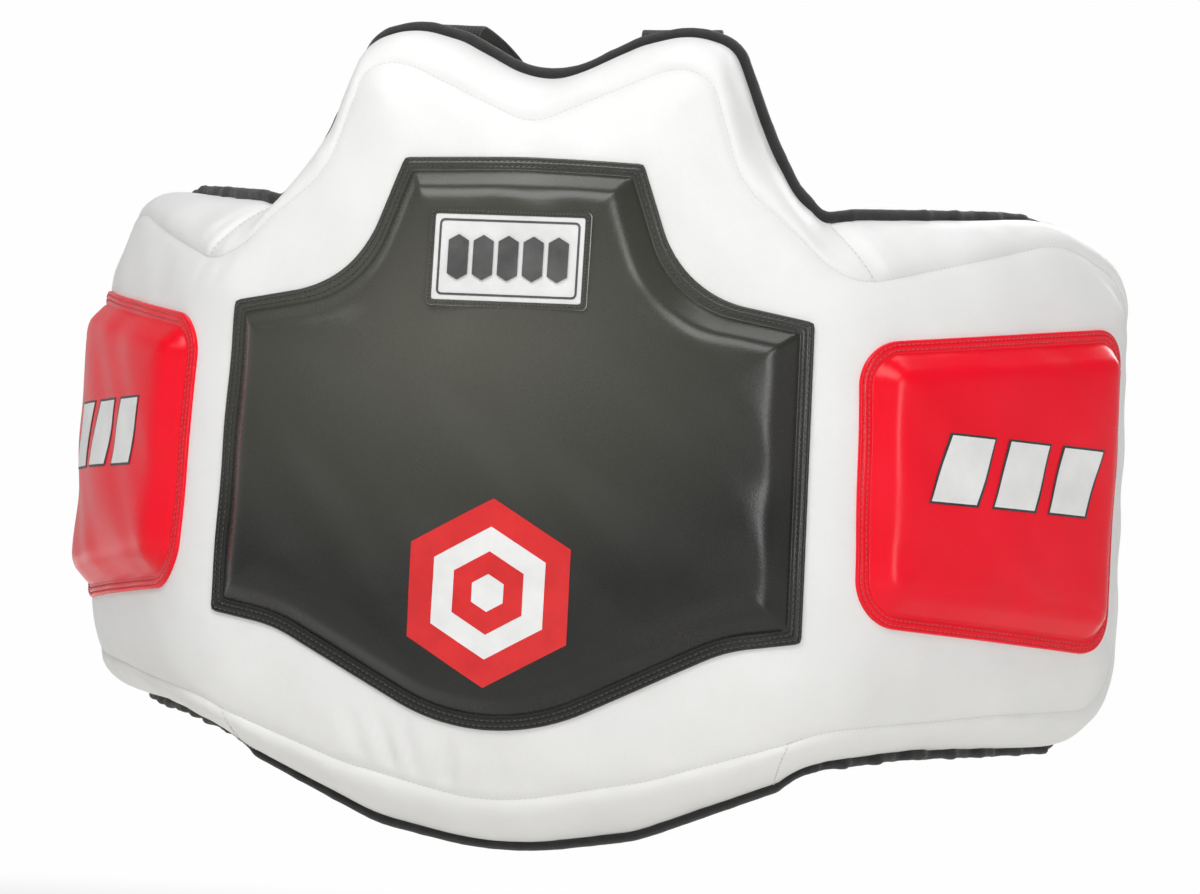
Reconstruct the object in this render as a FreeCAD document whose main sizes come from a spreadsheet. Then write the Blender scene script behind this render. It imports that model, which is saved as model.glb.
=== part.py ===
"""Boxing trainer's body protector: a C-shaped padded shell with target pads and a back harness.

Frame: the origin is on the inner lining at the centre of the chest, +Y points at the wearer,
+X to the wearer's left and +Z up. Lengths are millimetres and angles are degrees.

The shell is a chest block and two side wings. A surface point is named by its station, the
distance along the outer plan curve from the centre line, and its depth below that surface.
"""
import FreeCAD
import Part
import math
import os
from FreeCAD import Vector

DIMENSIONS = {
    # plan curve of the outer surface
    "chest_radius": 1200.0,
    "chest_turn": 8.2,
    "corner_radius": 90.0,
    "corner_turn": 39.0,
    "wing_radius": 700.0,
    "wing_turn": 19.9,
    "hinge_turn": 26.0,
    "wing_facing": 56.0,
    # layers, counted inward from the outer surface
    "shell_depth": 56.0,
    "leather": 2.0,
    "gel_depth": 8.0,
    "layer_gap": 0.25,
    "side_slope_width": 27.0,
    "binding_width": 3.0,
    "binding_depth": 8.0,
    # flex fold between the chest and each wing
    "fold_half_angle": 6.5,
    "fold_lead": 1.8,
    # centre target and side pads
    "target_height": 17.0,
    "target_slope_width": 15.0,
    "side_pad_height": 15.0,
    "side_pad_slope_width": 14.0,
    "pad_gel_depth": 4.0,
    "pad_core_gap": 1.2,
    "flange_width": 8.0,
    "flange_thickness": 2.5,
    # badge
    "badge_length": 99.0,
    "badge_width": 58.0,
    "badge_thickness": 2.2,
    "badge_centre_height": 104.0,
    "stud_width": 12.2,
    "stud_height": 27.0,
    "stud_relief": 1.2,
    "stud_spacing": 15.4,
    # webbing and elastic
    "webbing_width": 50.0,
    "webbing_thickness": 2.0,
    "strap_station": 78.0,
    "strap_lining_gap": 7.6,
    "strap_seam_height": 200.0,
    "strap_fold_height": 246.0,
    "strap_fold_radius": 9.0,
    "strap_lean": 0.204,
    "yoke_width": 124.0,
    "yoke_height": 108.0,
    "yoke_corner": 26.0,
    "yoke_leather": 2.2,
    "yoke_centre_height": 48.0,
    "back_strap_height": 30.0,
    "belt_height": -95.0,
    "elastic_bend": 26.0,
    "elastic_end": 205.0,
    "elastic_tab": 16.0,
    # hardware
    "ring_bar": 4.0,
    "ring_gap": 14.0,
    "ring_station": 118.0,
    "slider_length": 36.0,
    "slider_bar": 3.0,
    "slider_clearance": 0.5,
    "belt_return": 118.0,
    "hook_pad_length": 90.0,
    "hook_pad_thickness": 1.3,
    "anchor_height": 40.0,
    "anchor_thickness": 1.6,
}

doc = FreeCAD.newDocument("body_protector")
sheet = doc.addObject("Spreadsheet::Sheet", "dims")
for row, (alias, value) in enumerate(DIMENSIONS.items(), start=1):
    sheet.set(f"A{row}", alias)
    sheet.set(f"B{row}", str(value))
    sheet.setAlias(f"B{row}", alias)
doc.recompute()

REACH = 300.0      # half-height of tools that must pass right through the shell
sub_parts = []


def dim(alias):
    """A driving dimension, read from the spreadsheet."""
    return float(sheet.get(alias))


def keep(item, label):
    """Register a document object as a finished sub-part."""
    item.Label = label
    sub_parts.append(item)
    return item


def keep_shape(label, shape):
    """Register a computed shape as a finished sub-part."""
    feature = doc.addObject("Part::Feature", label)
    feature.Shape = shape
    return keep(feature, label)


def mirrored(shape):
    """The wearer's right-hand copy of a left-hand shape."""
    return shape.mirror(Vector(0, 0, 0), Vector(1, 0, 0))


def keep_pair(name, shape):
    """Register a shape on the left and its mirror image on the right."""
    keep_shape("left_" + name, shape)
    keep_shape("right_" + name, mirrored(shape))


# ---------------------------------------------------------------- plan curves

def heading(angle):
    """Unit vector in the plan at an angle from +X."""
    return Vector(math.cos(math.radians(angle)), math.sin(math.radians(angle)), 0)


def step(point, angle, piece, side=0.0):
    """Follow one piece of a path, a (length, 0) run or a (radius, turn) arc.

    Returns the offset start, middle and end points and the new point and angle.
    """
    size, turn = piece
    left = heading(angle + 90)
    if turn == 0:
        new = point + heading(angle) * size
        middle = point + heading(angle) * (size / 2)
        return point + left * side, middle + left * side, new + left * side, new, angle
    bend = math.copysign(1, turn)
    centre = point + left * (size * bend)
    out = (size * bend) - side
    middle = centre - heading(angle + turn / 2 + 90) * out
    end = centre - heading(angle + turn + 90) * out
    new = centre - heading(angle + turn + 90) * (size * bend)
    return point + left * side, middle, end, new, angle + turn


def path_edges(start, angle, pieces, side):
    """Edges of a tangent path, offset to its left by side."""
    edges = []
    point = start
    for piece in pieces:
        first, middle, last, point, angle = step(point, angle, piece, side)
        if piece[1] == 0:
            edges.append(Part.LineSegment(first, last).toShape())
        else:
            edges.append(Part.Arc(first, middle, last).toShape())
    return edges


def path_end(start, angle, pieces):
    """Point and angle at the end of a path."""
    point = start
    for piece in pieces:
        point, angle = step(point, angle, piece)[3:]
    return point, angle


def path_band(start, angle, pieces, near, far):
    """Plan face between two offsets of a path, near to far on its left."""
    near_edges = path_edges(start, angle, pieces, near)
    far_edges = path_edges(start, angle, pieces, far)
    ends = [
        Part.LineSegment(near_edges[0].firstVertex().Point, far_edges[0].firstVertex().Point),
        Part.LineSegment(near_edges[-1].lastVertex().Point, far_edges[-1].lastVertex().Point),
    ]
    edges = near_edges + far_edges + [end.toShape() for end in ends]
    return Part.Face(Part.Wire(Part.__sortEdges__(edges)))


def upright(face, low, high):
    """A plan face pulled up into a solid between two heights."""
    solid = face.extrude(Vector(0, 0, high - low))
    solid.translate(Vector(0, 0, low))
    return solid


CENTRE = Vector(0, -dim("shell_depth"), 0)
HALF_CHEST = [
    (dim("chest_radius"), dim("chest_turn")),
    (dim("corner_radius"), dim("hinge_turn") - dim("chest_turn")),
]
HINGE = path_end(CENTRE, 0, HALF_CHEST)[0]
CHEST_PATH = [
    (dim("corner_radius"), dim("hinge_turn") - dim("chest_turn")),
    (dim("chest_radius"), 2 * dim("chest_turn")),
    (dim("corner_radius"), dim("hinge_turn") - dim("chest_turn")),
]
WING_PATH = [
    (dim("corner_radius"), dim("chest_turn") + dim("corner_turn") - dim("hinge_turn")),
    (dim("wing_radius"), dim("wing_turn")),
]
WING_EXTRA_TURN = 3.0
BLOCK_FRONT = 60.0         # room kept outside and inside the wing's layers
BLOCK_BACK = 20.0
HINGE_STATION = sum(size * math.radians(turn) for size, turn in HALF_CHEST)


def chest_band(near, far):
    """Curved slab of the chest between two depths."""
    start = Vector(-HINGE.x, HINGE.y, 0)
    face = path_band(start, -dim("hinge_turn"), CHEST_PATH, near, far)
    return upright(face, -REACH, REACH)


def wing_band(near, far):
    """Curved slab of the left wing between two depths, a little longer than the wing."""
    path = [WING_PATH[0], (dim("wing_radius"), dim("wing_turn") + WING_EXTRA_TURN)]
    face = path_band(HINGE, dim("hinge_turn"), path, near, far)
    return upright(face, -REACH, REACH)


def wing_block(margin):
    """Room for the left wing: it ends squarely at the rear, moved inward by margin."""
    start = Vector(-HINGE.x, HINGE.y, 0)
    turn = dim("wing_turn") - math.degrees(margin / dim("wing_radius"))
    path = CHEST_PATH + [WING_PATH[0], (dim("wing_radius"), turn)]
    back = dim("shell_depth") + BLOCK_BACK
    return upright(path_band(start, -dim("hinge_turn"), path, -BLOCK_FRONT, back), -REACH, REACH)


def surface_point(station, depth):
    """Plan point at a station of the outer surface and a depth below it, with its heading."""
    point = CENTRE
    angle = 0.0
    left_over = station
    for size, turn in HALF_CHEST + WING_PATH:
        share = min(left_over, size * math.radians(turn))
        point, angle = step(point, angle, (size, math.degrees(share / size) or 1e-9))[3:]
        left_over -= share
    return point + heading(angle + 90) * depth, angle


# ------------------------------------------------------------ rounded outlines

def offset_corner(before, corner, after, inset):
    """Where the two sides of a corner meet after both move inward (to the right) by inset."""
    first = (corner - before).normalize()
    second = (after - corner).normalize()
    turn = first.x * second.y - first.y * second.x
    bisector = Vector(first.y + second.y, -first.x - second.x, 0)
    bisector.normalize()
    scale = inset / (first.y * bisector.x - first.x * bisector.y)
    return corner + bisector * scale, turn < 0


def rounded_outline(corners, inset):
    """Closed wire in a plane of clockwise corners (u, v, radius), moved inward by inset."""
    smallest = 2.0
    points = [Vector(u, v, 0) for u, v, radius in corners]
    count = len(points)
    moved = []
    for i in range(count):
        corner, outward = offset_corner(points[i - 1], points[i], points[(i + 1) % count], inset)
        radius = corners[i][2] + (-inset if outward else inset)
        moved.append((corner, max(radius, smallest)))
    arcs = []
    for i in range(count):
        corner, radius = moved[i]
        back = (moved[i - 1][0] - corner).normalize()
        ahead = (moved[(i + 1) % count][0] - corner).normalize()
        half = back.getAngle(ahead) / 2
        reach = radius / math.tan(half)
        toward = (back + ahead).normalize()
        middle = corner + toward * (radius / math.sin(half) - radius)
        arcs.append(Part.Arc(corner + back * reach, middle, corner + ahead * reach))
    edges = []
    for i in range(count):
        edges.append(arcs[i].toShape())
        gap = Part.LineSegment(arcs[i].EndPoint, arcs[(i + 1) % count].StartPoint)
        edges.append(gap.toShape())
    return Part.Wire(edges)


def symmetric(corners):
    """Whole clockwise outline from the left-hand half, given from the top centre down."""
    other = [(-u, v, radius) for u, v, radius in reversed(corners) if u > 0]
    return corners + other


def facing(angle, origin):
    """Placement that stands an outline up so that it faces out along the surface normal."""
    across = heading(angle)
    inward = heading(angle + 90)
    matrix = FreeCAD.Matrix(
        across.x, 0, inward.x, origin.x,
        across.y, 0, inward.y, origin.y,
        0, 1, 0, 0,
        0, 0, 0, 1,
    )
    return matrix


def tapered(corners, frame, near, far, near_inset, far_inset):
    """Solid between an outline at depth near and the same outline at depth far."""
    wires = []
    for depth, inset in ((near, near_inset), (far, far_inset)):
        wire = rounded_outline(corners, inset)
        wire.translate(Vector(0, 0, depth))
        wires.append(wire.transformGeometry(frame))
    return Part.makeLoft(wires, True, True)


CHEST_OUTLINE = symmetric([
    (0, 219, 90),
    (62, 250, 30),
    (118, 250, 30),
    (165, 150, 60),
    (270, 153.5, 5),
    (270, -187, 5),
    (181, -192, 60),
    (70, -243, 80),
    (0, -250, 300),
])
WING_OUTLINE = [
    (-70, 148, 5),
    (244.5, 161, 55),
    (271.5, -168, 60),
    (-70, -195, 5),
]
CHEST_PLANE = 48.16        # the chest outline's plane, in front of the lining
WING_PLANE = 17.0          # the wing outline's plane, outside the fold
TAPER_FRONT = 40.0         # how far the tapered blocks reach in front of that plane
TAPER_BACK = 30.0          # and behind the shell's depth
CHEST_FRAME = facing(0, Vector(0, -CHEST_PLANE, 0))
WING_ORIGIN = HINGE + heading(dim("wing_facing") + 90) * -WING_PLANE
WING_FRAME = facing(dim("wing_facing"), WING_ORIGIN)


def shell_taper(corners, frame, margin):
    """Sloping-sided block of the shell, its sides moved inward by margin."""
    slope = dim("side_slope_width") / dim("shell_depth")
    near = -TAPER_FRONT
    far = dim("shell_depth") + TAPER_BACK
    near_inset = margin + (dim("shell_depth") - near) * slope
    far_inset = margin + (dim("shell_depth") - far) * slope
    return tapered(corners, frame, near, far, near_inset, far_inset)


def fold_wedge():
    """Wedge cut from the inner side of the left fold, so that the wing can flex."""
    inward = dim("hinge_turn") + 90
    apex = HINGE - heading(inward) * dim("fold_lead")
    length = dim("shell_depth") * 2
    sides = [
        apex + heading(inward - dim("fold_half_angle")) * length,
        apex + heading(inward + dim("fold_half_angle")) * length,
    ]
    return upright(Part.Face(Part.makePolygon([apex] + sides + [apex])), -REACH, REACH)


def shell_layers(band, taper, trim):
    """The leather, foam, gel, lining and binding of one block of the shell."""
    leather = dim("leather")
    gap = dim("layer_gap")
    depth = dim("shell_depth")
    binding = dim("binding_width")
    gel_start = depth - leather - gap - dim("gel_depth")
    cover = taper(binding)
    filling = taper(binding + leather + gap)
    wall = band(leather + gap, depth - leather - gap).common(cover.cut(taper(binding + leather)))
    edge = band(depth - dim("binding_depth"), depth).common(taper(0).cut(taper(binding - gap)))
    layers = {
        "front_panel": band(0, leather).common(cover),
        "side_gusset": wall,
        "impact_foam": band(leather + gap, gel_start - gap).common(filling),
        "gel_layer": band(gel_start, depth - leather - gap).common(filling),
        "back_lining": band(depth - leather, depth).common(cover),
        "edge_binding": edge,
    }
    return {name: shape.cut(trim) for name, shape in layers.items()}


def single(shape):
    """The one solid in a boolean result."""
    if len(shape.Solids) != 1:
        raise ValueError(f"expected one solid, found {len(shape.Solids)}")
    return shape.Solids[0]


def build_shell():
    """Chest block and both wings, layer by layer."""
    wedge = fold_wedge()
    both = wedge.fuse(mirrored(wedge))

    def chest_taper(margin):
        return shell_taper(CHEST_OUTLINE, CHEST_FRAME, margin)

    def wing_taper(margin):
        return shell_taper(WING_OUTLINE, WING_FRAME, margin).common(wing_block(margin))

    chest = shell_layers(chest_band, chest_taper, both)
    wing = shell_layers(wing_band, wing_taper, wedge)
    for name in ("front_panel", "impact_foam", "gel_layer", "back_lining"):
        keep_shape("chest_" + name, single(chest[name]))
        keep_pair("wing_" + name, single(wing[name]))
    for name in ("side_gusset", "edge_binding"):
        solids = sorted(chest[name].Solids, key=lambda solid: solid.CenterOfMass.z)
        keep_shape("chest_lower_" + name, solids[0])
        keep_shape("chest_upper_" + name, solids[-1])
        keep_pair("wing_" + name, single(wing[name]))


# ------------------------------------------------------------------------ pads

TARGET_OUTLINE = symmetric([
    (0, 167.5, 300),
    (74, 165, 2),
    (101.7, 89.5, 134),
    (181, 76, 2),
    (184, -113, 2),
    (140, -120.3, 90),
    (0, -190.3, 131),
])


def wing_across(station):
    """Distance from the fold, across the wing's facing plane, of a station."""
    point = surface_point(station, 0)[0] - WING_ORIGIN
    return point.dot(heading(dim("wing_facing")))


SIDE_PAD_OUTLINE = [
    (wing_across(209), 66, 28),
    (wing_across(430), 96, 26),
    (wing_across(427), -108, 28),
    (wing_across(215), -100, 30),
]
TARGET_PLANE = 8.0         # the target outline's plane, inside the outer surface
TARGET_REACH = 30.0        # how far the target's tapered blocks reach each way
SIDE_PAD_REACH = 34.0      # and the side pads'


def build_pad(outline, frame, band, height, slope_width, reach):
    """Foam and a gel sheet with sloping edges, under a leather cover that ends in a sewn flange."""
    gap = dim("layer_gap")
    leather = dim("leather")
    flange = dim("flange_width")
    spread = slope_width / height
    gel_top = height - leather - gap
    gel_bottom = gel_top - dim("pad_gel_depth")

    def block(margin, bottom, top):
        level = flange + margin
        near_inset = level + reach * spread
        far_inset = level - reach * spread
        solid = tapered(outline, frame, -reach, reach, near_inset, far_inset)
        return solid.common(band(-top, -bottom))

    core = leather + dim("pad_core_gap")
    cavity = block(leather, gap, height - leather)
    foam = block(core, gap, gel_bottom - gap).common(cavity)
    gel = block(core, gel_bottom, gel_top).common(cavity)
    flange_plate = tapered(outline, frame, -reach, reach, 0, 0)
    flange_plate = flange_plate.common(band(-dim("flange_thickness"), -gap))
    cover = block(0, gap, height).fuse(flange_plate).cut(cavity).removeSplitter()
    return single(foam), single(gel), single(cover)


def build_pads():
    """The centre target and the two side pads."""
    foam, gel, cover = build_pad(
        TARGET_OUTLINE, facing(0, CENTRE + Vector(0, TARGET_PLANE, 0)), chest_band,
        dim("target_height"), dim("target_slope_width"), TARGET_REACH)
    keep_shape("target_pad_foam", foam)
    keep_shape("target_pad_gel", gel)
    keep_shape("target_pad_cover", cover)
    foam, gel, cover = build_pad(
        SIDE_PAD_OUTLINE, WING_FRAME, wing_band,
        dim("side_pad_height"), dim("side_pad_slope_width"), SIDE_PAD_REACH)
    keep_pair("side_pad_foam", foam)
    keep_pair("side_pad_gel", gel)
    keep_pair("side_pad_cover", cover)



def surface_front():
    """Front face of the centre target."""
    return -dim("shell_depth") - dim("target_height")


def sketched_plate(name, plane, corner, size, radius, thickness):
    """PartDesign body: a rounded rectangle padded to a thickness given by the sheet."""
    body = doc.addObject("PartDesign::Body", name)
    sketch = body.newObject("Sketcher::SketchObject", name + "_outline")
    origin_plane = [item for item in body.Origin.OriginFeatures if item.Role == plane][0]
    sketch.AttachmentSupport = (origin_plane, [""])
    sketch.MapMode = "FlatFace"
    low = corner
    high = corner + size
    points = [Vector(low.x, low.y, 0), Vector(low.x, high.y, 0),
              Vector(high.x, high.y, 0), Vector(high.x, low.y, 0)]
    for edge in rounded_outline([(point.x, point.y, radius) for point in points], 0).Edges:
        ends = [vertex.Point for vertex in edge.Vertexes]
        if isinstance(edge.Curve, Part.Line):
            sketch.addGeometry(Part.LineSegment(ends[0], ends[1]), False)
        else:
            middle = edge.valueAt((edge.FirstParameter + edge.LastParameter) / 2)
            sketch.addGeometry(Part.Arc(ends[0], middle, ends[1]), False)
    pad = body.newObject("PartDesign::Pad", name + "_pad")
    pad.Profile = sketch
    pad.setExpression("Length", "dims." + thickness)
    body.Tip = pad
    doc.recompute()
    return body


# ----------------------------------------------------------------------- badge

STUD_GAP = 0.05           # glue line under each stud
STUD_POINT_ANGLE = 30.0   # slope of the studs' pointed ends


def build_badge():
    """Raised badge plate with a row of plain hexagonal studs."""
    size = Vector(dim("badge_length"), dim("badge_width"), 0)
    plate = sketched_plate("badge", "XZ_Plane", size * -0.5, size, 3.0, "badge_thickness")
    front = surface_front() - dim("layer_gap")
    plate.Placement.Base = Vector(0, front, dim("badge_centre_height"))
    keep(plate, "badge_plate")
    half_width = dim("stud_width") / 2
    half_height = dim("stud_height") / 2
    shoulder = half_height - half_width * math.tan(math.radians(STUD_POINT_ANGLE))
    outline = [
        Vector(0, 0, half_height),
        Vector(half_width, 0, shoulder),
        Vector(half_width, 0, -shoulder),
        Vector(0, 0, -half_height),
        Vector(-half_width, 0, -shoulder),
        Vector(-half_width, 0, shoulder),
    ]
    level = front - dim("badge_thickness") - STUD_GAP
    stud = Part.Face(Part.makePolygon(outline + outline[:1])).extrude(Vector(0, -dim("stud_relief"), 0))
    studs = []
    for place in range(-2, 3):
        copy = stud.copy()
        copy.translate(Vector(place * dim("stud_spacing"), level, dim("badge_centre_height")))
        studs.append(copy)
    keep_shape("badge_studs", Part.makeCompound(studs))


# --------------------------------------------------------------------- harness

def side_view(solid):
    """Turn a solid drawn in the plan so that its plan X, Y and Z become Y, Z and X."""
    return solid.rotate(Vector(0, 0, 0), Vector(1, 1, 1), 120)


def strap_run(start, angle, pieces):
    """Webbing along a plan path, before it is cut to width."""
    half = dim("webbing_thickness") / 2
    return path_band(start, angle, pieces, -half, half)


def belt_strip(start, angle, pieces, height):
    """Webbing on edge along a plan path, centred on a height."""
    half = dim("webbing_width") / 2
    return upright(strap_run(start, angle, pieces), height - half, height + half)


ELASTIC_SEAM_STATION = 452.0
ELASTIC_SEAM_GAP = 1.4
ELASTIC_START, ELASTIC_ANGLE = surface_point(
    ELASTIC_SEAM_STATION, dim("shell_depth") + ELASTIC_SEAM_GAP)
ELASTIC_TURN = 180 - ELASTIC_ANGLE
ELASTIC_CURVE = [(dim("elastic_tab"), 0), (dim("elastic_bend"), ELASTIC_TURN)]
ELASTIC_CORNER = path_end(ELASTIC_START, ELASTIC_ANGLE, ELASTIC_CURVE)[0]
BELT_PLANE = ELASTIC_CORNER.y
LAP = 2.3            # plane to plane distance of two webbings sewn together
RING_SLACK = 4.2     # radius of the elastic's loop round the ring
BELT_LOOP = RING_SLACK + LAP
SEWN_OVERLAP = 20.0  # length of webbing sewn over an elastic's end
LOOP_TAIL = 24.0     # length of elastic folded back round the ring
ANCHOR_MARGIN = 6.0  # patch that shows beside the strap at each edge
SLIDER_SIDE_GAP = 0.6
STRAP_SLOPE = 35.0
ARCH_START = 8.0     # slope of the strap just after its fold, before it arches over
ARCH_RADIUS = 180.0
DROP_RADIUS = 30.0
STRAP_END = 46.0


def shoulder_path():
    """Side view of a shoulder strap that arches from its seam on the lining to the yoke."""
    start = Vector(dim("strap_lining_gap"), dim("strap_seam_height"), 0)
    over = [
        (dim("strap_fold_height") - dim("strap_seam_height"), 0),
        (dim("strap_fold_radius"), -90 - ARCH_START),
        (ARCH_RADIUS, ARCH_START - STRAP_SLOPE),
    ]
    landing = [(DROP_RADIUS, STRAP_SLOPE - 90)]
    first, angle = path_end(start, 90, over)
    reach = path_end(Vector(0, 0, 0), angle, landing)[0].x
    straight = (BELT_PLANE + LAP - first.x - reach) / math.cos(math.radians(STRAP_SLOPE))
    pieces = over + [(straight, 0)] + landing + [(STRAP_END, 0)]
    middle = first + heading(angle) * (straight / 2)
    return start, pieces, middle


def strap_centre(distance_back):
    """How far the shoulder strap's centre is from the middle, at a distance behind the chest."""
    return dim("strap_station") - dim("strap_lean") * distance_back


def build_shoulder_straps():
    """Webbing from each ear of the chest block down to the yoke, with its slider."""
    start, pieces, middle = shoulder_path()
    sheet_solid = upright(strap_run(start, 90, pieces), -REACH, REACH)
    strap_sheet = side_view(sheet_solid)
    lean = math.atan(dim("strap_lean") * math.cos(math.radians(STRAP_SLOPE)))
    half = dim("webbing_width") / 2 / math.cos(lean)
    near = -20.0
    far = BELT_PLANE + 40.0
    corners = [
        Vector(strap_centre(near) - half, near, 0),
        Vector(strap_centre(near) + half, near, 0),
        Vector(strap_centre(far) + half, far, 0),
        Vector(strap_centre(far) - half, far, 0),
    ]
    plan = Part.Face(Part.makePolygon(corners + corners[:1]))
    strap = single(strap_sheet.common(upright(plan, -REACH, REACH)))
    keep_pair("shoulder_strap", strap)
    build_sliders(middle, math.degrees(lean))
    anchor_width = dim("webbing_width") + 2 * ANCHOR_MARGIN
    anchor = Part.makeBox(anchor_width, dim("anchor_thickness"), dim("anchor_height"))
    anchor_face = dim("strap_lining_gap") + dim("webbing_thickness") / 2 + dim("layer_gap")
    anchor.translate(Vector(
        strap_centre(dim("strap_lining_gap")) - anchor_width / 2,
        anchor_face,
        dim("strap_seam_height") - 2))
    keep_pair("strap_anchor_patch", anchor)


def build_sliders(middle, lean):
    """Tri-glide on each shoulder strap: two bars over the webbing and one under it."""
    bar = dim("slider_bar")
    clear = dim("webbing_thickness") / 2 + dim("slider_clearance")
    length = dim("slider_length")
    width = dim("webbing_width") + 2 * (dim("slider_clearance") + SLIDER_SIDE_GAP)
    height = 2 * (clear + bar)
    boxes = [
        (length, bar, height, 0, width / 2 + bar / 2, 0),
        (length, bar, height, 0, -width / 2 - bar / 2, 0),
        (bar, width, bar, length / 2 - bar / 2, 0, clear + bar / 2),
        (bar, width, bar, bar / 2 - length / 2, 0, clear + bar / 2),
        (bar * 1.5, width, bar, 0, 0, -clear - bar / 2),
    ]
    frame = None
    for size_x, size_y, size_z, x, y, z in boxes:
        corner = Vector(x - size_x / 2, y - size_y / 2, z - size_z / 2)
        box = Part.makeBox(size_x, size_y, size_z, corner)
        frame = box if frame is None else frame.fuse(box)
    frame = frame.removeSplitter()
    slope = math.radians(STRAP_SLOPE)
    downhill = Vector(0, math.cos(slope), -math.sin(slope))
    along = Vector(-dim("strap_lean") * math.cos(slope), downhill.y, downhill.z).normalize()
    normal = Vector(0, math.sin(slope), math.cos(slope))
    across = normal.cross(along)
    centre = Vector(strap_centre(middle.x), middle.x, middle.y)
    matrix = FreeCAD.Matrix(
        along.x, across.x, normal.x, centre.x,
        along.y, across.y, normal.y, centre.y,
        along.z, across.z, normal.z, centre.z,
        0, 0, 0, 1,
    )
    frame.Placement = FreeCAD.Placement(matrix)
    keep_pair("strap_slider", frame)


def build_yoke():
    """Two leather plates that sandwich the ends of the straps at the middle of the back."""
    size = Vector(dim("yoke_width"), dim("yoke_height"), 0)
    clear = dim("webbing_thickness") / 2 + dim("layer_gap")
    plane = BELT_PLANE + LAP
    names = (("yoke_inner_plate", plane - clear), ("yoke_outer_plate", plane + clear + dim("yoke_leather")))
    for name, level in names:
        plate = sketched_plate(name, "XZ_Plane", size * -0.5, size, dim("yoke_corner"), "yoke_leather")
        plate.Placement.Base = Vector(0, level, dim("yoke_centre_height"))
        keep(plate, name)


def build_back_straps():
    """Elastic from each wing's rear edge and the webbing that runs from it to the yoke."""
    height = dim("back_strap_height")
    run = ELASTIC_CORNER.x - dim("elastic_end")
    elastic = belt_strip(ELASTIC_START, ELASTIC_ANGLE, ELASTIC_CURVE + [(run, 0)], height)
    keep_pair("back_elastic", elastic)
    lap_start = dim("elastic_end") + SEWN_OVERLAP
    inner_end = 14.0
    start = Vector(lap_start, BELT_PLANE + LAP, 0)
    keep_pair("back_strap", belt_strip(start, 180, [(lap_start - inner_end, 0)], height))


def build_waist_belt():
    """Waist elastics, the ring on the left one, and the belt that folds back through it."""
    height = dim("belt_height")
    ring_pitch = dim("ring_gap") + dim("ring_bar")
    run = ELASTIC_CORNER.x - dim("ring_station")
    loop = [(run, 0), (RING_SLACK, -180), (LOOP_TAIL, 0)]
    keep_shape("left_waist_elastic",
               belt_strip(ELASTIC_START, ELASTIC_ANGLE, ELASTIC_CURVE + loop, height))
    run = ELASTIC_CORNER.x - dim("elastic_end")
    plain = belt_strip(ELASTIC_START, ELASTIC_ANGLE, ELASTIC_CURVE + [(run, 0)], height)
    keep_shape("right_waist_elastic", mirrored(plain))
    ring_plane = BELT_PLANE + RING_SLACK
    lap_start = dim("elastic_end") + SEWN_OVERLAP
    front_plane = ring_plane - BELT_LOOP
    bar_x = dim("ring_station") - ring_pitch
    closing_turn = 25.0
    settle = 30.0
    layers = 5.0
    rise = BELT_LOOP * (1 + math.cos(math.radians(closing_turn)))
    rise -= settle * (1 - math.cos(math.radians(closing_turn)))
    closing = (rise - layers) / math.sin(math.radians(closing_turn))
    belt = belt_strip(Vector(-lap_start, front_plane, 0), 0, [
        (lap_start + bar_x, 0),
        (BELT_LOOP, 180 + closing_turn),
        (closing, 0),
        (settle, -closing_turn),
        (dim("belt_return"), 0),
    ], height)
    keep_shape("waist_belt", belt)
    half = dim("webbing_thickness") / 2
    pad = dim("hook_pad_thickness")
    pad_start = bar_x - 2 * settle - dim("hook_pad_length")
    pad_height = dim("webbing_width") - 6
    levels = (
        ("belt_loop_pad", front_plane + half + 0.1),
        ("belt_hook_pad", front_plane + layers - half - 0.1 - pad),
    )
    for name, level in levels:
        strip = Part.makeBox(dim("hook_pad_length"), pad, pad_height)
        strip.translate(Vector(pad_start, level, height - pad_height / 2))
        keep_shape(name, strip)
    build_ring(ring_plane, height, ring_pitch)


def build_ring(plane, height, pitch):
    """Rounded rectangular ring, cut from a box and rounded along its edges."""
    bar = dim("ring_bar")
    inner_height = dim("webbing_width") + 4
    outer = doc.addObject("Part::Box", "ring_block")
    outer.setExpression("Length", "dims.ring_gap + 2 * dims.ring_bar")
    outer.setExpression("Width", "dims.ring_bar")
    outer.setExpression("Height", "dims.webbing_width + 4 + 2 * dims.ring_bar")
    inner = doc.addObject("Part::Box", "ring_window")
    inner.setExpression("Length", "dims.ring_gap")
    inner.setExpression("Width", "3 * dims.ring_bar")
    inner.setExpression("Height", "dims.webbing_width + 4")
    inner.Placement.Base = Vector(bar, -bar, bar)
    frame = doc.addObject("Part::Cut", "ring_frame")
    frame.Base = outer
    frame.Tool = inner
    doc.recompute()
    ring = doc.addObject("Part::Fillet", "ring")
    ring.Base = frame
    edge_round = bar * 0.3
    ring.Edges = [(i + 1, edge_round, edge_round) for i in range(len(frame.Shape.Edges))]
    ring.Placement.Base = Vector(
        dim("ring_station") - pitch - bar / 2,
        plane - bar / 2,
        height - inner_height / 2 - bar)
    keep(ring, "waist_ring")


def write_parts():
    """Check every object and write one STEP file per sub-part."""
    doc.recompute()
    for item in doc.Objects:
        if "Invalid" in item.State or "Error" in item.State:
            raise ValueError(f"{item.Label} did not recompute: {item.State}")
    for item in sub_parts:
        if item.Shape.isNull() or not item.Shape.isValid():
            raise ValueError(f"{item.Label} has no valid shape")
    os.makedirs("parts", exist_ok=True)
    for item in sub_parts:
        item.Shape.exportStep(f"parts/{item.Label}.step")


build_shell()
build_pads()
build_badge()
build_shoulder_straps()
build_yoke()
build_back_straps()
build_waist_belt()
write_parts()
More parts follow.
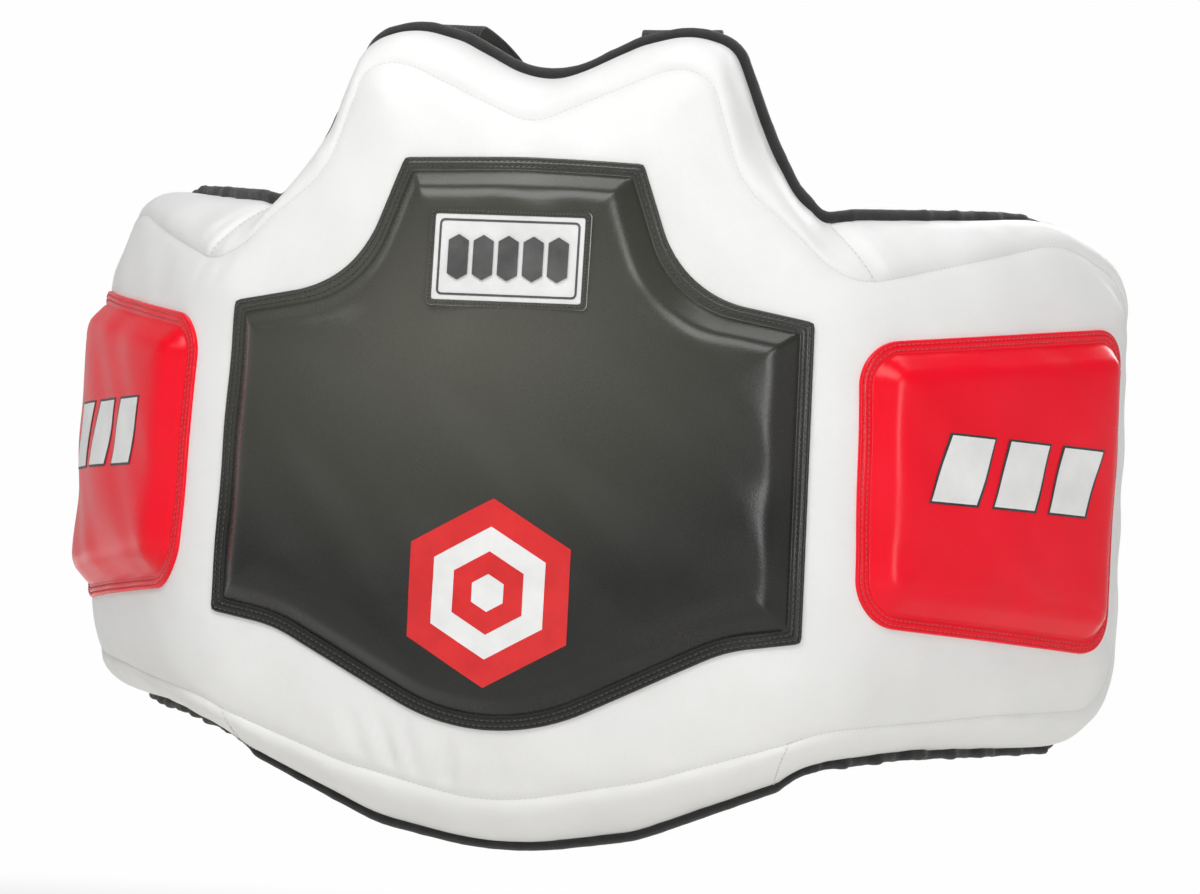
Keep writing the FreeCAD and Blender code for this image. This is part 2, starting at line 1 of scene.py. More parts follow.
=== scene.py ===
"""Boxing trainer's body protector: skins, pads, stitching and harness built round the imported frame.

Metres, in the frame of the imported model: +Y points at the wearer, the target faces -Y, +Z is up.
A point of the shell is named by its station, the distance along the outer plan curve from the
centre line, by its height z, and by its rise above the outer surface (negative is inside).
"""
import math

import bmesh
import bpy
import numpy as np
from mathutils import Matrix, Vector
from mathutils.geometry import delaunay_2d_cdt


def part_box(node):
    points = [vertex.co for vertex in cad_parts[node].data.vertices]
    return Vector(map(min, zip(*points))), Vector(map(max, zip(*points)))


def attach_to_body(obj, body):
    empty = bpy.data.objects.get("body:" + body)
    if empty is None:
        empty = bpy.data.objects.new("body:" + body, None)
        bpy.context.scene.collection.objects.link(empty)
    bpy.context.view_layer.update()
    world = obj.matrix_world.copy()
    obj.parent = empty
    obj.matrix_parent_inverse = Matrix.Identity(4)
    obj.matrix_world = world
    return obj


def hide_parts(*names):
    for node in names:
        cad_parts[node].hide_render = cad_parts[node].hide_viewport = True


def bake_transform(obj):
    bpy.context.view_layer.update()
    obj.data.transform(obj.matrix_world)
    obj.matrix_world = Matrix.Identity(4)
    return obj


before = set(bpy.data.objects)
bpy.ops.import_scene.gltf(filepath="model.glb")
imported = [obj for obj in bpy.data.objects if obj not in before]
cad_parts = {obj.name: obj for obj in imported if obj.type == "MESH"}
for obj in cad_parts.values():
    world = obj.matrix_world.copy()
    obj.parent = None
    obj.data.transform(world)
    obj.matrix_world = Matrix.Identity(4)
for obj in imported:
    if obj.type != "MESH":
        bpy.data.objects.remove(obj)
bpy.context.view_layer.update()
MM = 0.001

# ------------------------------------------------------------------ shape of the shell

CHEST_ARCS = ((1.200, 8.2), (0.090, 39.0), (0.700, 19.9))     # radius, turn in degrees
FRONT_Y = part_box("chest_front_panel")[0].y
SHELL_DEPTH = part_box("chest_back_lining")[0].y - FRONT_Y + 0.002
HINGE_STATION = 0.1997
SEAM_DEPTH = 0.012
EDGE_DEPTH = 0.052

# (station, height, radius) in mm of the front seam and of the back edge, corner by corner,
# from the middle of the neck round the left-hand side to the bottom centre
SEAM_AND_EDGE = (
    ((0, 188, 30), (0, 219, 90)),
    ((78, 222, 24), (56, 246.5, 34)),
    ((96, 225, 40), (90, 255, 70)),
    ((111, 217, 20), (121, 246.5, 26)),
    ((131, 157, 60), (145, 190, 260)),
    ((203, 98, 60), (172, 144, 55)),
    ((378, 144, 90), (375, 161, 150)),
    ((446, 122, 34), (462, 152, 42)),
    ((452, -139, 40), (474, -167, 50)),
    ((336, -148, 200), (300, -177, 200)),
    ((206, -163, 160), (195, -191, 160)),
    ((96, -199, 120), (85, -235, 120)),
    ((0, -219, 160), (0, -249, 250)),
)


def unit(vectors):
    """Rows scaled to length 1."""
    return vectors / np.maximum(np.linalg.norm(vectors, axis=-1, keepdims=True), 1e-12)


def plan_curve(station):
    """x, y and signed heading of the outer surface at stations, as arrays."""
    station = np.asarray(station, float)
    side = np.where(station < 0, -1.0, 1.0)
    left = np.abs(station)
    x = np.zeros_like(left)
    y = np.full_like(left, FRONT_Y)
    angle = np.zeros_like(left)
    for i, (radius, turn) in enumerate(CHEST_ARCS):
        length = radius * math.radians(turn)
        share = left if i == len(CHEST_ARCS) - 1 else np.minimum(left, length)
        new = angle + share / radius
        x += radius * (np.sin(new) - np.sin(angle))
        y += radius * (np.cos(angle) - np.cos(new))
        angle = new
        left = left - share
    return side * x, y, side * angle


def shell_point(flat, rise):
    """Points in space of (station, z) rows and a rise above the outer surface."""
    x, y, angle = plan_curve(flat[:, 0])
    rise = np.broadcast_to(rise, x.shape)
    return np.stack([x + np.sin(angle) * rise, y - np.cos(angle) * rise, flat[:, 1]], 1)


def shell_normal(flat):
    """Outward normals of the outer surface at (station, z) rows."""
    angle = plan_curve(flat[:, 0])[2]
    return np.stack([np.sin(angle), -np.cos(angle), np.zeros_like(angle)], 1)


# ------------------------------------------------------------------- rounded outlines

def mirror_corners(corners):
    """Whole clockwise outline from the left-hand half, given from the top centre down."""
    other = [(-u, v, radius) for u, v, radius in reversed(corners) if u > 0]
    return list(corners) + other


def corner_rounds(corners, inset):
    """Centre, start angle, sweep and radius of each rounded corner, moved inward by inset."""
    table = np.array(corners, float) * MM
    points = table[:, :2]
    ahead = unit(np.roll(points, -1, 0) - points)
    back = np.roll(ahead, 1, 0)
    turn = back[:, 0] * ahead[:, 1] - back[:, 1] * ahead[:, 0]
    right = np.stack([back[:, 1], -back[:, 0]], 1)
    bisector = unit(right + np.stack([ahead[:, 1], -ahead[:, 0]], 1))
    points = points + bisector * (inset / (right * bisector).sum(1))[:, None]
    radius = np.maximum(table[:, 2] + np.where(turn < 0, -inset, inset), 1.2 * MM)
    rounds = []
    count = len(points)
    for i in range(count):
        to_back = points[i - 1] - points[i]
        to_ahead = points[(i + 1) % count] - points[i]
        limit = 0.49 * min(np.linalg.norm(to_back), np.linalg.norm(to_ahead))
        to_back = to_back / np.linalg.norm(to_back)
        to_ahead = to_ahead / np.linalg.norm(to_ahead)
        half = math.acos(np.clip(to_back @ to_ahead, -1, 1)) / 2
        reach = min(radius[i] / math.tan(half), limit)
        size = reach * math.tan(half)
        toward = to_back + to_ahead
        toward = toward / np.linalg.norm(toward)
        centre = points[i] + toward * (size / math.sin(half))
        middle = math.atan2(-toward[1], -toward[0])
        sweep = math.copysign(math.pi - 2 * half, turn[i])
        rounds.append((centre, middle, sweep, size))
    return rounds


def span_points(first, second, fractions):
    """Points between the middles of two rounded corners, at fractions of the way."""
    c1, m1, w1, r1 = first
    c2, m2, w2, r2 = second
    end = c1 + r1 * np.array([math.cos(m1 + w1 / 2), math.sin(m1 + w1 / 2)])
    start = c2 + r2 * np.array([math.cos(m2 - w2 / 2), math.sin(m2 - w2 / 2)])
    straight = float(np.linalg.norm(start - end))
    lengths = (abs(w1) * r1 / 2, straight, abs(w2) * r2 / 2)
    total = sum(lengths)
    rows = []
    for fraction in fractions:
        way = fraction * total
        if way < lengths[0]:
            angle = m1 + w1 / 2 * way / lengths[0]
            rows.append(c1 + r1 * np.array([math.cos(angle), math.sin(angle)]))
        elif way < lengths[0] + straight:
            rows.append(end + (start - end) * (way - lengths[0]) / straight)
        else:
            share = (way - lengths[0] - straight) / max(lengths[2], 1e-9)
            angle = m2 - w2 / 2 * (1 - share)
            rows.append(c2 + r2 * np.array([math.cos(angle), math.sin(angle)]))
    return rows


def span_steps(corners, spacing):
    """How many points each span of an outline gets."""
    rounds = corner_rounds(corners, 0.0)
    steps = []
    for i, first in enumerate(rounds):
        second = rounds[(i + 1) % len(rounds)]
        trial = np.array(span_points(first, second, np.linspace(0, 1, 60)))
        steps.append(max(2, round(np.linalg.norm(np.diff(trial, axis=0), axis=1).sum() / spacing)))
    return steps


def outline(corners, inset, steps):
    """Closed loop of (station, z) rows, with the same number of points for every inset."""
    rounds = corner_rounds(corners, inset)
    rows = []
    for i, first in enumerate(rounds):
        fractions = np.arange(steps[i]) / steps[i]
        rows += span_points(first, rounds[(i + 1) % len(rounds)], fractions)
    return np.array(rows)


def distance_to_loop(flat, loop):
    """Distance of (station, z) rows from a closed loop."""
    start = loop
    way = np.roll(loop, -1, 0) - loop
    best = np.full(len(flat), 1e9)
    for begin in range(0, len(flat), 4000):
        rows = flat[begin:begin + 4000, None, :] - start[None]
        share = np.clip((rows * way).sum(2) / (way * way).sum(1), 0, 1)
        gap = np.linalg.norm(rows - share[..., None] * way, axis=2)
        best[begin:begin + 4000] = gap.min(1)
    return best


def inside_loop(flat, loop):
    """True for the rows inside a closed loop."""
    u, v = flat[:, 0][:, None], flat[:, 1][:, None]
    u1, v1 = loop[:, 0], loop[:, 1]
    u2, v2 = np.roll(u1, -1), np.roll(v1, -1)
    crosses = (v1 > v) != (v2 > v)
    with np.errstate(divide="ignore", invalid="ignore"):
        where = u1 + (v - v1) * (u2 - u1) / (v2 - v1)
    return (np.sum(crosses & (u < where), axis=1) % 2) == 1


# ---------------------------------------------------------------------- mesh building

def fill_loop(loop, spacing):
    """Triangles that fill a loop: extra (station, z) rows, and faces that count the loop first."""
    low, high = loop.min(0), loop.max(0)
    row_gap = spacing * math.sqrt(3) / 2
    rows = []
    reach = math.ceil(max(-low[0], high[0]) / spacing) + 1
    for j in range(math.ceil((high[1] - low[1]) / row_gap)):
        v = low[1] + row_gap * (j + 0.5)
        shift = 0.5 * (j % 2)
        stations = (np.arange(-reach, reach + 1) + shift) * spacing
        rows.append(np.stack([stations, np.full_like(stations, v)], 1))
    grid = np.concatenate(rows)
    grid = grid[(grid[:, 0] > low[0]) & (grid[:, 0] < high[0])]
    grid = grid[inside_loop(grid, loop)]
    grid = grid[distance_to_loop(grid, loop) > 0.62 * spacing]
    every = np.concatenate([loop, grid])
    ring = list(range(len(loop)))
    _, _, faces, origins, _, _ = delaunay_2d_cdt(
        [Vector(row) for row in every.tolist()], [], [ring], 1, 1e-7)
    back = [min(source) if source else -1 for source in origins]
    if min(back) < 0:
        raise ValueError("the outline crosses itself")
    return grid, [tuple(back[i] for i in face) for face in faces]


class Patch:
    """A surface drawn as loops that step inward and a filled middle."""

    def __init__(self):
        self.flat = []
        self.rise = []
        self.faces = []
        self.count = 0

    def add(self, flat, rise):
        """Adds rows and returns their first index."""
        first = self.count
        self.flat.append(np.asarray(flat, float))
        self.rise.append(np.broadcast_to(np.asarray(rise, float), len(flat)).copy())
        self.count += len(flat)
        return first

    def bridge(self, first, second, count):
        """Quads between two closed loops of the same length."""
        for i in range(count):
            j = (i + 1) % count
            self.faces.append((first + i, first + j, second + j, second + i))

    def loops(self, rings):
        """Adds loops given as (flat, rise) and bridges them. Returns the last loop's index."""
        last = None
        for flat, rise in rings:
            new = self.add(flat, rise)
            if last is not None:
                self.bridge(last, new, len(flat))
            last = new
        return last

    def fill(self, loop, first, spacing, rise_of, order=-1):
        """Fills a loop whose rows start at an index; an order of -1 turns the faces over."""
        grid, faces = fill_loop(loop, spacing)
        start = self.add(grid, rise_of(grid))
        count = len(loop)
        for face in faces:
            self.faces.append(tuple(first + i if i < count else start + i - count
                                    for i in face[::order]))

    def filled(self, rings, spacing, rise_of):
        """Adds loops that step inward and fills the last one."""
        self.fill(rings[-1][0], self.loops(rings), spacing, rise_of)

    def placed(self, place):
        """Points in space and faces of the surface laid on a place."""
        return place.point(np.concatenate(self.flat), np.concatenate(self.rise)), self.faces


def new_object(name, points, faces, material, smooth=True):
    """A mesh object from arrays."""
    mesh = bpy.data.meshes.new(name)
    mesh.from_pydata([tuple(p) for p in np.asarray(points).tolist()], [], faces)
    mesh.validate()
    mesh.update()
    made = bpy.data.objects.new(name, mesh)
    bpy.context.scene.collection.objects.link(made)
    if material:
        mesh.materials.append(material)
    if smooth:
        mesh.polygons.foreach_set("use_smooth", [True] * len(mesh.polygons))
    return made


def facing(made):
    """Sum of a mesh's face normals by area."""
    return sum((face.normal * face.area for face in made.data.polygons), Vector((0, 0, 0)))


def face_outward(made, toward):
    """Flips every face if the mesh's faces look away from a direction on the whole."""
    if facing(made).dot(toward) < 0:
        made.data.flip_normals()
    return made


def inside_out(made):
    """Whether a closed mesh's faces look inward."""
    form = bmesh.new()
    form.from_mesh(made.data)
    volume = form.calc_volume(signed=True)
    form.free()
    return volume < 0


def turn_outward(made):
    """Flips a closed mesh whose faces look inward."""
    if inside_out(made):
        made.data.flip_normals()
    return made


def path_way(line):
    """Distance along an open line at each of its points."""
    return np.concatenate([[0], np.cumsum(np.linalg.norm(np.diff(line, axis=0), axis=1))])


def halves(name, points, faces, material):
    """Left and right halves of a surface, which share their normals along the centre line."""
    whole = new_object(name, points, faces, material)
    normals = np.zeros(len(points) * 3)
    whole.data.vertices.foreach_get("normal", normals)
    normals = normals.reshape(-1, 3)
    made = []
    middles = np.array([np.mean(points[list(face), 0]) for face in faces])
    for label, keep in (("left", middles >= 0), ("right", middles < 0)):
        chosen = [faces[i] for i in np.nonzero(keep)[0]]
        used = sorted({i for face in chosen for i in face})
        place = {old: new for new, old in enumerate(used)}
        remade = [tuple(place[i] for i in face) for face in chosen]
        half = new_object(f"{name}_{label}", points[used], remade, material)
        half.data.normals_split_custom_set_from_vertices([Vector(n) for n in normals[used].tolist()])
        made.append(half)
    bpy.data.objects.remove(whole)
    return made


def flex(piece):
    """Bakes a piece's placement into its mesh."""
    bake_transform(piece)


def attach(piece, body, slot, *nodes):
    """Rides a piece on a body and hides the nodes it stands for."""
    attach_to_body(piece, body)
    if nodes:
        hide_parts(*nodes)


# -------------------------------------------------------------------------- materials

class Tree:
    """Short-hand for building a node tree."""

    def __init__(self, tree, coords="Object"):
        self.tree = tree
        self.coords = self.add("ShaderNodeTexCoord").outputs[coords]

    def add(self, kind, **values):
        """A new node, with its settings and input values by name."""
        node = self.tree.nodes.new(kind)
        for key, value in values.items():
            if hasattr(node, key):
                setattr(node, key, value)
            else:
                node.inputs[key.replace("_", " ")].default_value = value
        return node

    def link(self, source, target):
        self.tree.links.new(source, target)

    def noise(self, scale, detail=3.0, roughness=0.5, vector=None):
        """Smooth noise from 0 to 1."""
        node = self.add("ShaderNodeTexNoise", Scale=scale, Detail=detail, Roughness=roughness)
        self.link(vector or self.coords, node.inputs["Vector"])
        return node.outputs["Fac"]

    def cells(self, scale, feature="DISTANCE_TO_EDGE", vector=None):
        """Distances inside a pattern of cells."""
        node = self.add("ShaderNodeTexVoronoi", feature=feature, Scale=scale)
        self.link(vector or self.coords, node.inputs["Vector"])
        return node.outputs["Distance"]

    def span(self, value, low, high, out_low=0.0, out_high=1.0, curve="LINEAR"):
        """A value carried from one range to another."""
        node = self.add("ShaderNodeMapRange", interpolation_type=curve, From_Min=low, From_Max=high,
                        To_Min=out_low, To_Max=out_high)
        self.link(value, node.inputs["Value"])
        return node.outputs["Result"]

    def math(self, operation, a, b):
        """The result of an operation on two values, each a number or an output."""
        node = self.add("ShaderNodeMath", operation=operation)
        for socket, value in zip(node.inputs, (a, b)):
            if isinstance(value, (int, float)):
                socket.default_value = value
            else:
                self.link(value, socket)
        return node.outputs[0]

    def blend(self, factor, first, second):
        """A colour between two, each a constant or another node's output."""
        node = self.add("ShaderNodeMix", data_type="RGBA")
        self.link(factor, node.inputs["Factor"])
        colours = [item for item in node.inputs if item.type == "RGBA"]
        for socket, value in zip(colours, (first, second)):
            if isinstance(value, tuple):
                socket.default_value = (*value, 1.0)
            else:
                self.link(value, socket)
        return next(item for item in node.outputs if item.type == "RGBA")

    def vector(self, operation, first, *constants):
        """A vector operation on one linked vector."""
        node = self.add("ShaderNodeVectorMath", operation=operation)
        self.link(first, node.inputs[0])
        for socket, value in zip(node.inputs[1:], constants):
            socket.default_value = value
        return node

    def bump(self, height, distance, strength=1.0, before=None):
        """A normal tilted by a height, on top of another one."""
        node = self.add("ShaderNodeBump", Strength=strength, Distance=distance)
        self.link(height, node.inputs["Height"])
        if before is not None:
            self.link(before, node.inputs["Normal"])
        return node.outputs["Normal"]


class Nodes(Tree):
    """A new material's node tree."""

    def __init__(self, name):
        self.material = bpy.data.materials.new(name)
        self.material.use_nodes = True
        super().__init__(self.material.node_tree)
        self.shader = self.tree.nodes["Principled BSDF"]

    def finish(self, colour=None, roughness=None, normal=None, **constants):
        """Fills in the shader and returns the material."""
        for source, label in ((colour, "Base Color"), (roughness, "Roughness"), (normal, "Normal")):
            if source is None:
                continue
            if isinstance(source, tuple):
                self.shader.inputs[label].default_value = (*source, 1.0)
            elif isinstance(source, (int, float)):
                self.shader.inputs[label].default_value = source
            else:
                self.link(source, self.shader.inputs[label])
        for label, value in constants.items():
            self.shader.inputs[label.replace("_", " ")].default_value = value
        return self.material


# Painted highlight: a soft oval, in object coordinates, where the target's black face is coloured paler
# in place of the front lights' reflection
PAINTED_HIGHLIGHT_CENTRE = (-0.03, 0.06)
PAINTED_HIGHLIGHT_HALF_WIDTH = 0.22
PAINTED_HIGHLIGHT_HALF_HEIGHT = 0.15


def rubbed(nodes, colour, paler, tone):
    """Painted highlight: colour that turns paler over a soft oval in the middle of the target, standing
    in for the lights' reflection on its face.
    """
    size = (PAINTED_HIGHLIGHT_HALF_WIDTH, PAINTED_HIGHLIGHT_HALF_HEIGHT)
    place = nodes.vector("MULTIPLY_ADD", nodes.coords, (1 / size[0], 0.0, 1 / size[1]),
                         (-PAINTED_HIGHLIGHT_CENTRE[0] / size[0], 0.0, -PAINTED_HIGHLIGHT_CENTRE[1] / size[1]))
    spread = nodes.vector("LENGTH", place.outputs["Vector"])
    ragged = nodes.math("ADD", spread.outputs["Value"], nodes.math("MULTIPLY", tone, 0.12))
    return nodes.blend(nodes.span(ragged, 0.05, 1.15, 1.0, 0.0), colour, paler)


def leather(name, dark, light, roughness, grain, depth, specular, patch_scale=18.0, painted_highlight_tones=None):
    """Pebbled synthetic leather with a slow change of tone and, if asked, a painted highlight: a paler
    middle standing in for a reflection.
    """
    nodes = Nodes(name)
    warp = nodes.add("ShaderNodeTexNoise", Scale=grain * 0.4, Detail=2.0)
    nodes.link(nodes.coords, warp.inputs["Vector"])
    shifted = nodes.vector("MULTIPLY_ADD", warp.outputs["Color"], (0.0012, 0.0012, 0.0012))
    nodes.link(nodes.coords, shifted.inputs[2])
    pebbles = nodes.cells(grain, "F1", shifted.outputs["Vector"])
    creases = nodes.cells(grain * 0.55, "DISTANCE_TO_EDGE", shifted.outputs["Vector"])
    pores = nodes.noise(grain * 2.2, 4.0, 0.6)
    pebble_height = nodes.span(pebbles, 0.0, 0.7, 1.0, 0.0)
    crease_height = nodes.span(creases, 0.0, 0.09)
    height = nodes.math("ADD", nodes.math("MULTIPLY", pebble_height, 0.5),
                        nodes.math("MULTIPLY", crease_height, 0.5))
    height = nodes.math("ADD", height, nodes.math("MULTIPLY", pores, 0.35))
    broad = nodes.noise(patch_scale, 3.0, 0.55)
    tone = nodes.span(broad, 0.3, 0.7)
    speckle = nodes.span(nodes.noise(grain * 0.9, 2.0, 0.5), 0.35, 0.75)
    mixed = nodes.math("ADD", nodes.math("MULTIPLY", tone, 0.6), nodes.math("MULTIPLY", speckle, 0.4))
    colour = nodes.blend(mixed, dark, light)
    # Painted highlight: a paler oval laid over the leather's colour
    if painted_highlight_tones is not None:
        colour = rubbed(nodes, colour, nodes.blend(mixed, *painted_highlight_tones), tone)
    shine = nodes.span(nodes.math("ADD", nodes.math("MULTIPLY", broad, 0.5),
                                  nodes.math("MULTIPLY", height, 0.25)),
                       0.2, 0.8, roughness - 0.06, roughness + 0.07)
    normal = nodes.bump(height, depth)
    normal = nodes.bump(broad, 0.0006, 0.6, normal)
    return nodes.finish(colour, shine, normal, Specular_IOR_Level=specular)


def fabric(name, dark, light, thread, depth, roughness=0.85, sheen=0.25):
    """Plain woven or knitted cloth from two crossed waves."""
    nodes = Nodes(name)
    waves = []
    for axis in ("X", "Z"):
        wave = nodes.add("ShaderNodeTexWave", wave_type="BANDS", bands_direction=axis,
                         Scale=1.0 / thread, Distortion=0.6, Detail=1.0)
        wave.inputs["Detail Scale"].default_value = 2.0
        nodes.link(nodes.coords, wave.inputs["Vector"])
        waves.append(wave.outputs["Fac"])
    weave = nodes.math("MULTIPLY", waves[0], waves[1])
    fuzz = nodes.noise(900.0, 3.0, 0.6)
    tone = nodes.math("ADD", nodes.math("MULTIPLY", weave, 0.7), nodes.math("MULTIPLY", fuzz, 0.4))
    colour = nodes.blend(nodes.span(tone, 0.1, 0.9), dark, light)
    normal = nodes.bump(weave, depth)
    normal = nodes.bump(fuzz, depth * 0.6, 0.7, normal)
    return nodes.finish(colour, roughness, normal, Sheen_Weight=sheen, Sheen_Roughness=0.4)


def webbing(name, dark, light, rib=0.0024, row=0.0016):
    """Woven strap: ribs along the strap and short rows across it, laid out on the strap's UVs."""
    nodes = Nodes(name)
    layout = nodes.add("ShaderNodeUVMap", uv_map="strap")
    split = nodes.add("ShaderNodeSeparateXYZ")
    nodes.link(layout.outputs["UV"], split.inputs[0])
    across = nodes.math("MULTIPLY", split.outputs["X"], 2 * math.pi / rib)
    along = nodes.math("MULTIPLY", split.outputs["Y"], 2 * math.pi / row)
    slant = nodes.math("ADD", along, nodes.math("MULTIPLY", nodes.math("SINE", across, 0.0), 1.4))
    ribs = nodes.math("ABSOLUTE", nodes.math("SINE", nodes.math("MULTIPLY", across, 0.5), 0.0), 0.0)
    rows = nodes.span(nodes.math("SINE", slant, 0.0), -1.0, 1.0)
    weave = nodes.math("MULTIPLY", ribs, nodes.math("ADD", nodes.math("MULTIPLY", rows, 0.6), 0.4))
    fuzz = nodes.noise(1100.0, 3.0, 0.6)
    tone = nodes.math("ADD", nodes.math("MULTIPLY", weave, 0.75), nodes.math("MULTIPLY", fuzz, 0.3))
    colour = nodes.blend(nodes.span(tone, 0.1, 0.95), dark, light)
    normal = nodes.bump(weave, 0.0006)
    normal = nodes.bump(fuzz, 0.0002, 0.6, normal)
    return nodes.finish(colour, 0.72, normal, Sheen_Weight=0.2, Sheen_Roughness=0.5)


def plain(name, dark, light, roughness, scale=60.0, depth=0.00005, **constants):
    """Moulded or printed surface with a fine unevenness."""
    nodes = Nodes(name)
    broad = nodes.noise(scale, 4.0, 0.55)
    fine = nodes.noise(scale * 25, 3.0, 0.6)
    colour = nodes.blend(nodes.span(broad, 0.3, 0.7), dark, light)
    shine = nodes.span(fine, 0.2, 0.8, roughness - 0.05, roughness + 0.06)
    return nodes.finish(colour, shine, nodes.bump(fine, depth), **constants)


WHITE_LEATHER = leather("white_leather", (0.77, 0.77, 0.765), (0.84, 0.84, 0.835),
                        0.45, 1500.0, 0.00006, 0.35)
# The black leather's second pair of colours is a painted highlight over the middle of the target
BLACK_LEATHER = leather("black_leather", (0.006, 0.006, 0.0055), (0.012, 0.012, 0.011),
                        0.27, 900.0, 0.000028, 0.50,
                        painted_highlight_tones=((0.078, 0.078, 0.062), (0.098, 0.098, 0.079)))
RED_LEATHER = leather("red_leather", (0.82, 0.0004, 0.012), (0.93, 0.0008, 0.022),
                      0.25, 1000.0, 0.000030, 0.30)
YOKE_LEATHER = leather("yoke_leather", (0.014, 0.014, 0.014), (0.028, 0.027, 0.026),
                       0.5, 900.0, 0.00014, 0.40)
LINING = fabric("black_lining", (0.006, 0.006, 0.0065), (0.030, 0.030, 0.032), 0.0016, 0.00025)
BINDING = fabric("black_binding", (0.006, 0.006, 0.006), (0.026, 0.026, 0.026), 0.0011, 0.0002, 0.7)
WEBBING = webbing("black_webbing", (0.004, 0.0038, 0.0036), (0.030, 0.028, 0.026))
ELASTIC = webbing("black_elastic", (0.004, 0.004, 0.004), (0.034, 0.033, 0.032), 0.0040, 0.0012)
BLACK_THREAD = fabric("black_thread", (0.012, 0.012, 0.012), (0.20, 0.195, 0.185), 0.0006, 0.0001, 0.55)
RED_THREAD = fabric("red_thread", (0.55, 0.03, 0.04), (0.85, 0.16, 0.16), 0.0006, 0.0001, 0.6)
WHITE_THREAD = fabric("white_thread", (0.64, 0.63, 0.60), (0.84, 0.83, 0.81), 0.0006, 0.0001, 0.6)
PRINT_WHITE = plain("white_print", (0.76, 0.76, 0.76), (0.84, 0.84, 0.84), 0.45, Coat_Weight=0.1)
PRINT_RED = plain("red_print", (0.62, 0.008, 0.010), (0.74, 0.014, 0.016), 0.42, Coat_Weight=0.1)
PRINT_DARK = plain("dark_print", (0.02, 0.02, 0.022), (0.05, 0.05, 0.052), 0.45)
BADGE_WHITE = plain("badge_white", (0.70, 0.70, 0.70), (0.80, 0.80, 0.80), 0.48)
BADGE_GREY = plain("badge_grey", (0.055, 0.057, 0.055), (0.10, 0.102, 0.10), 0.36, Coat_Weight=0.15)
BLACK_PLASTIC = plain("black_plastic", (0.012, 0.012, 0.012), (0.02, 0.02, 0.02), 0.45)
STEEL = plain("steel_ring", (0.52, 0.52, 0.54), (0.62, 0.62, 0.64), 0.24, Metallic=1.0)
HOOK_LOOP = fabric("hook_loop", (0.004, 0.004, 0.004), (0.05, 0.05, 0.05), 0.0012, 0.0006, 0.95)

# ------------------------------------------------------------- stitches and small folds

class Plane:
    """A flat place for patches: rows are (u, v) on it and rise is along its normal."""

    def __init__(self, origin, across, up):
        self.origin = np.array(origin, float)
        self.across = np.array(across, float)
        self.up = np.array(up, float)
        self.out = np.cross(self.across, self.up)

    def point(self, flat, rise):
        """Points in space of (u, v) rows and a rise."""
        rise = np.broadcast_to(rise, len(flat))
        return (self.origin + flat[:, :1] * self.across + flat[:, 1:] * self.up
                + rise[:, None] * self.out)

    def normal(self, flat):
        """The same normal for every row."""
        return np.repeat(self.out[None], len(flat), 0)


class Shell:
    """The curved outer surface as a place for patches."""
    point = staticmethod(shell_point)
    normal = staticmethod(shell_normal)


def resample(loop, pitch, closed=True):
    """Evenly spaced rows along a line, and the row half a stitch further on for each."""
    line = np.concatenate([loop, loop[:1]]) if closed else loop
    way = path_way(line)
    count = max(2, round(way[-1] / pitch))
    step = way[-1] / count
    starts = np.arange(count) * step

    def at(where):
        return np.stack([np.interp(where, way, line[:, k]) for k in range(line.shape[1])], 1)

    return at(starts + 0.14 * step), at(starts + 0.86 * step)


def thread_mesh(name, tails, heads, normals, radius, material, sides=6):
    """Short rounded threads from tails to heads, each dipping at its two ends."""
    count = len(tails)
    along = unit(heads - tails)
    across = unit(np.cross(along, normals))
    out = np.cross(across, along)
    share = np.array([0.0, 0.18, 0.5, 0.82, 1.0])
    size = np.array([0.35, 0.9, 1.0, 0.9, 0.35]) * radius
    lift = np.array([-0.7, 0.25, 0.55, 0.25, -0.7]) * radius
    angles = np.arange(sides) * 2 * math.pi / sides
    rings = len(share)
    points = np.empty((count, rings, sides, 3))
    for j in range(rings):
        centre = tails + (heads - tails) * share[j] + out * lift[j]
        for k, angle in enumerate(angles):
            points[:, j, k] = centre + (across * math.cos(angle) + out * math.sin(angle)) * size[j]
    faces = []
    for i in range(count):
        base = i * rings * sides
        for j in range(rings - 1):
            for k in range(sides):
                n = (k + 1) % sides
                a, b = base + j * sides, base + (j + 1) * sides
                faces.append((a + k, b + k, b + n, a + n))
        faces.append(tuple(base + k for k in range(sides)))
        faces.append(tuple(base + (rings - 1) * sides + k for k in reversed(range(sides))))
    return new_object(name, points.reshape(-1, 3), faces, material)


def stitch_row(name, place, loop, rise_of, pitch, radius, material, closed=True):
    """A row of stitches lying on a surface along a line of rows."""
    tails, heads = resample(loop, pitch, closed)
    middle = (tails + heads) / 2
    return thread_mesh(name, place.point(tails, rise_of(tails)), place.point(heads, rise_of(heads)),
                       place.normal(middle), radius, material)


def join(name, parts):
    """One object from several, keeping every material slot's faces."""
    target = parts[0]
    with bpy.context.temp_override(active_object=target, selected_editable_objects=parts,
                                   selected_objects=parts):
        bpy.ops.object.join()
    target.name = name
    target.data.name = name
    return target


def ease(value):
    """Smooth step from 0 to 1."""
    value = np.clip(value, 0, 1)
    return value * value * (3 - 2 * value)


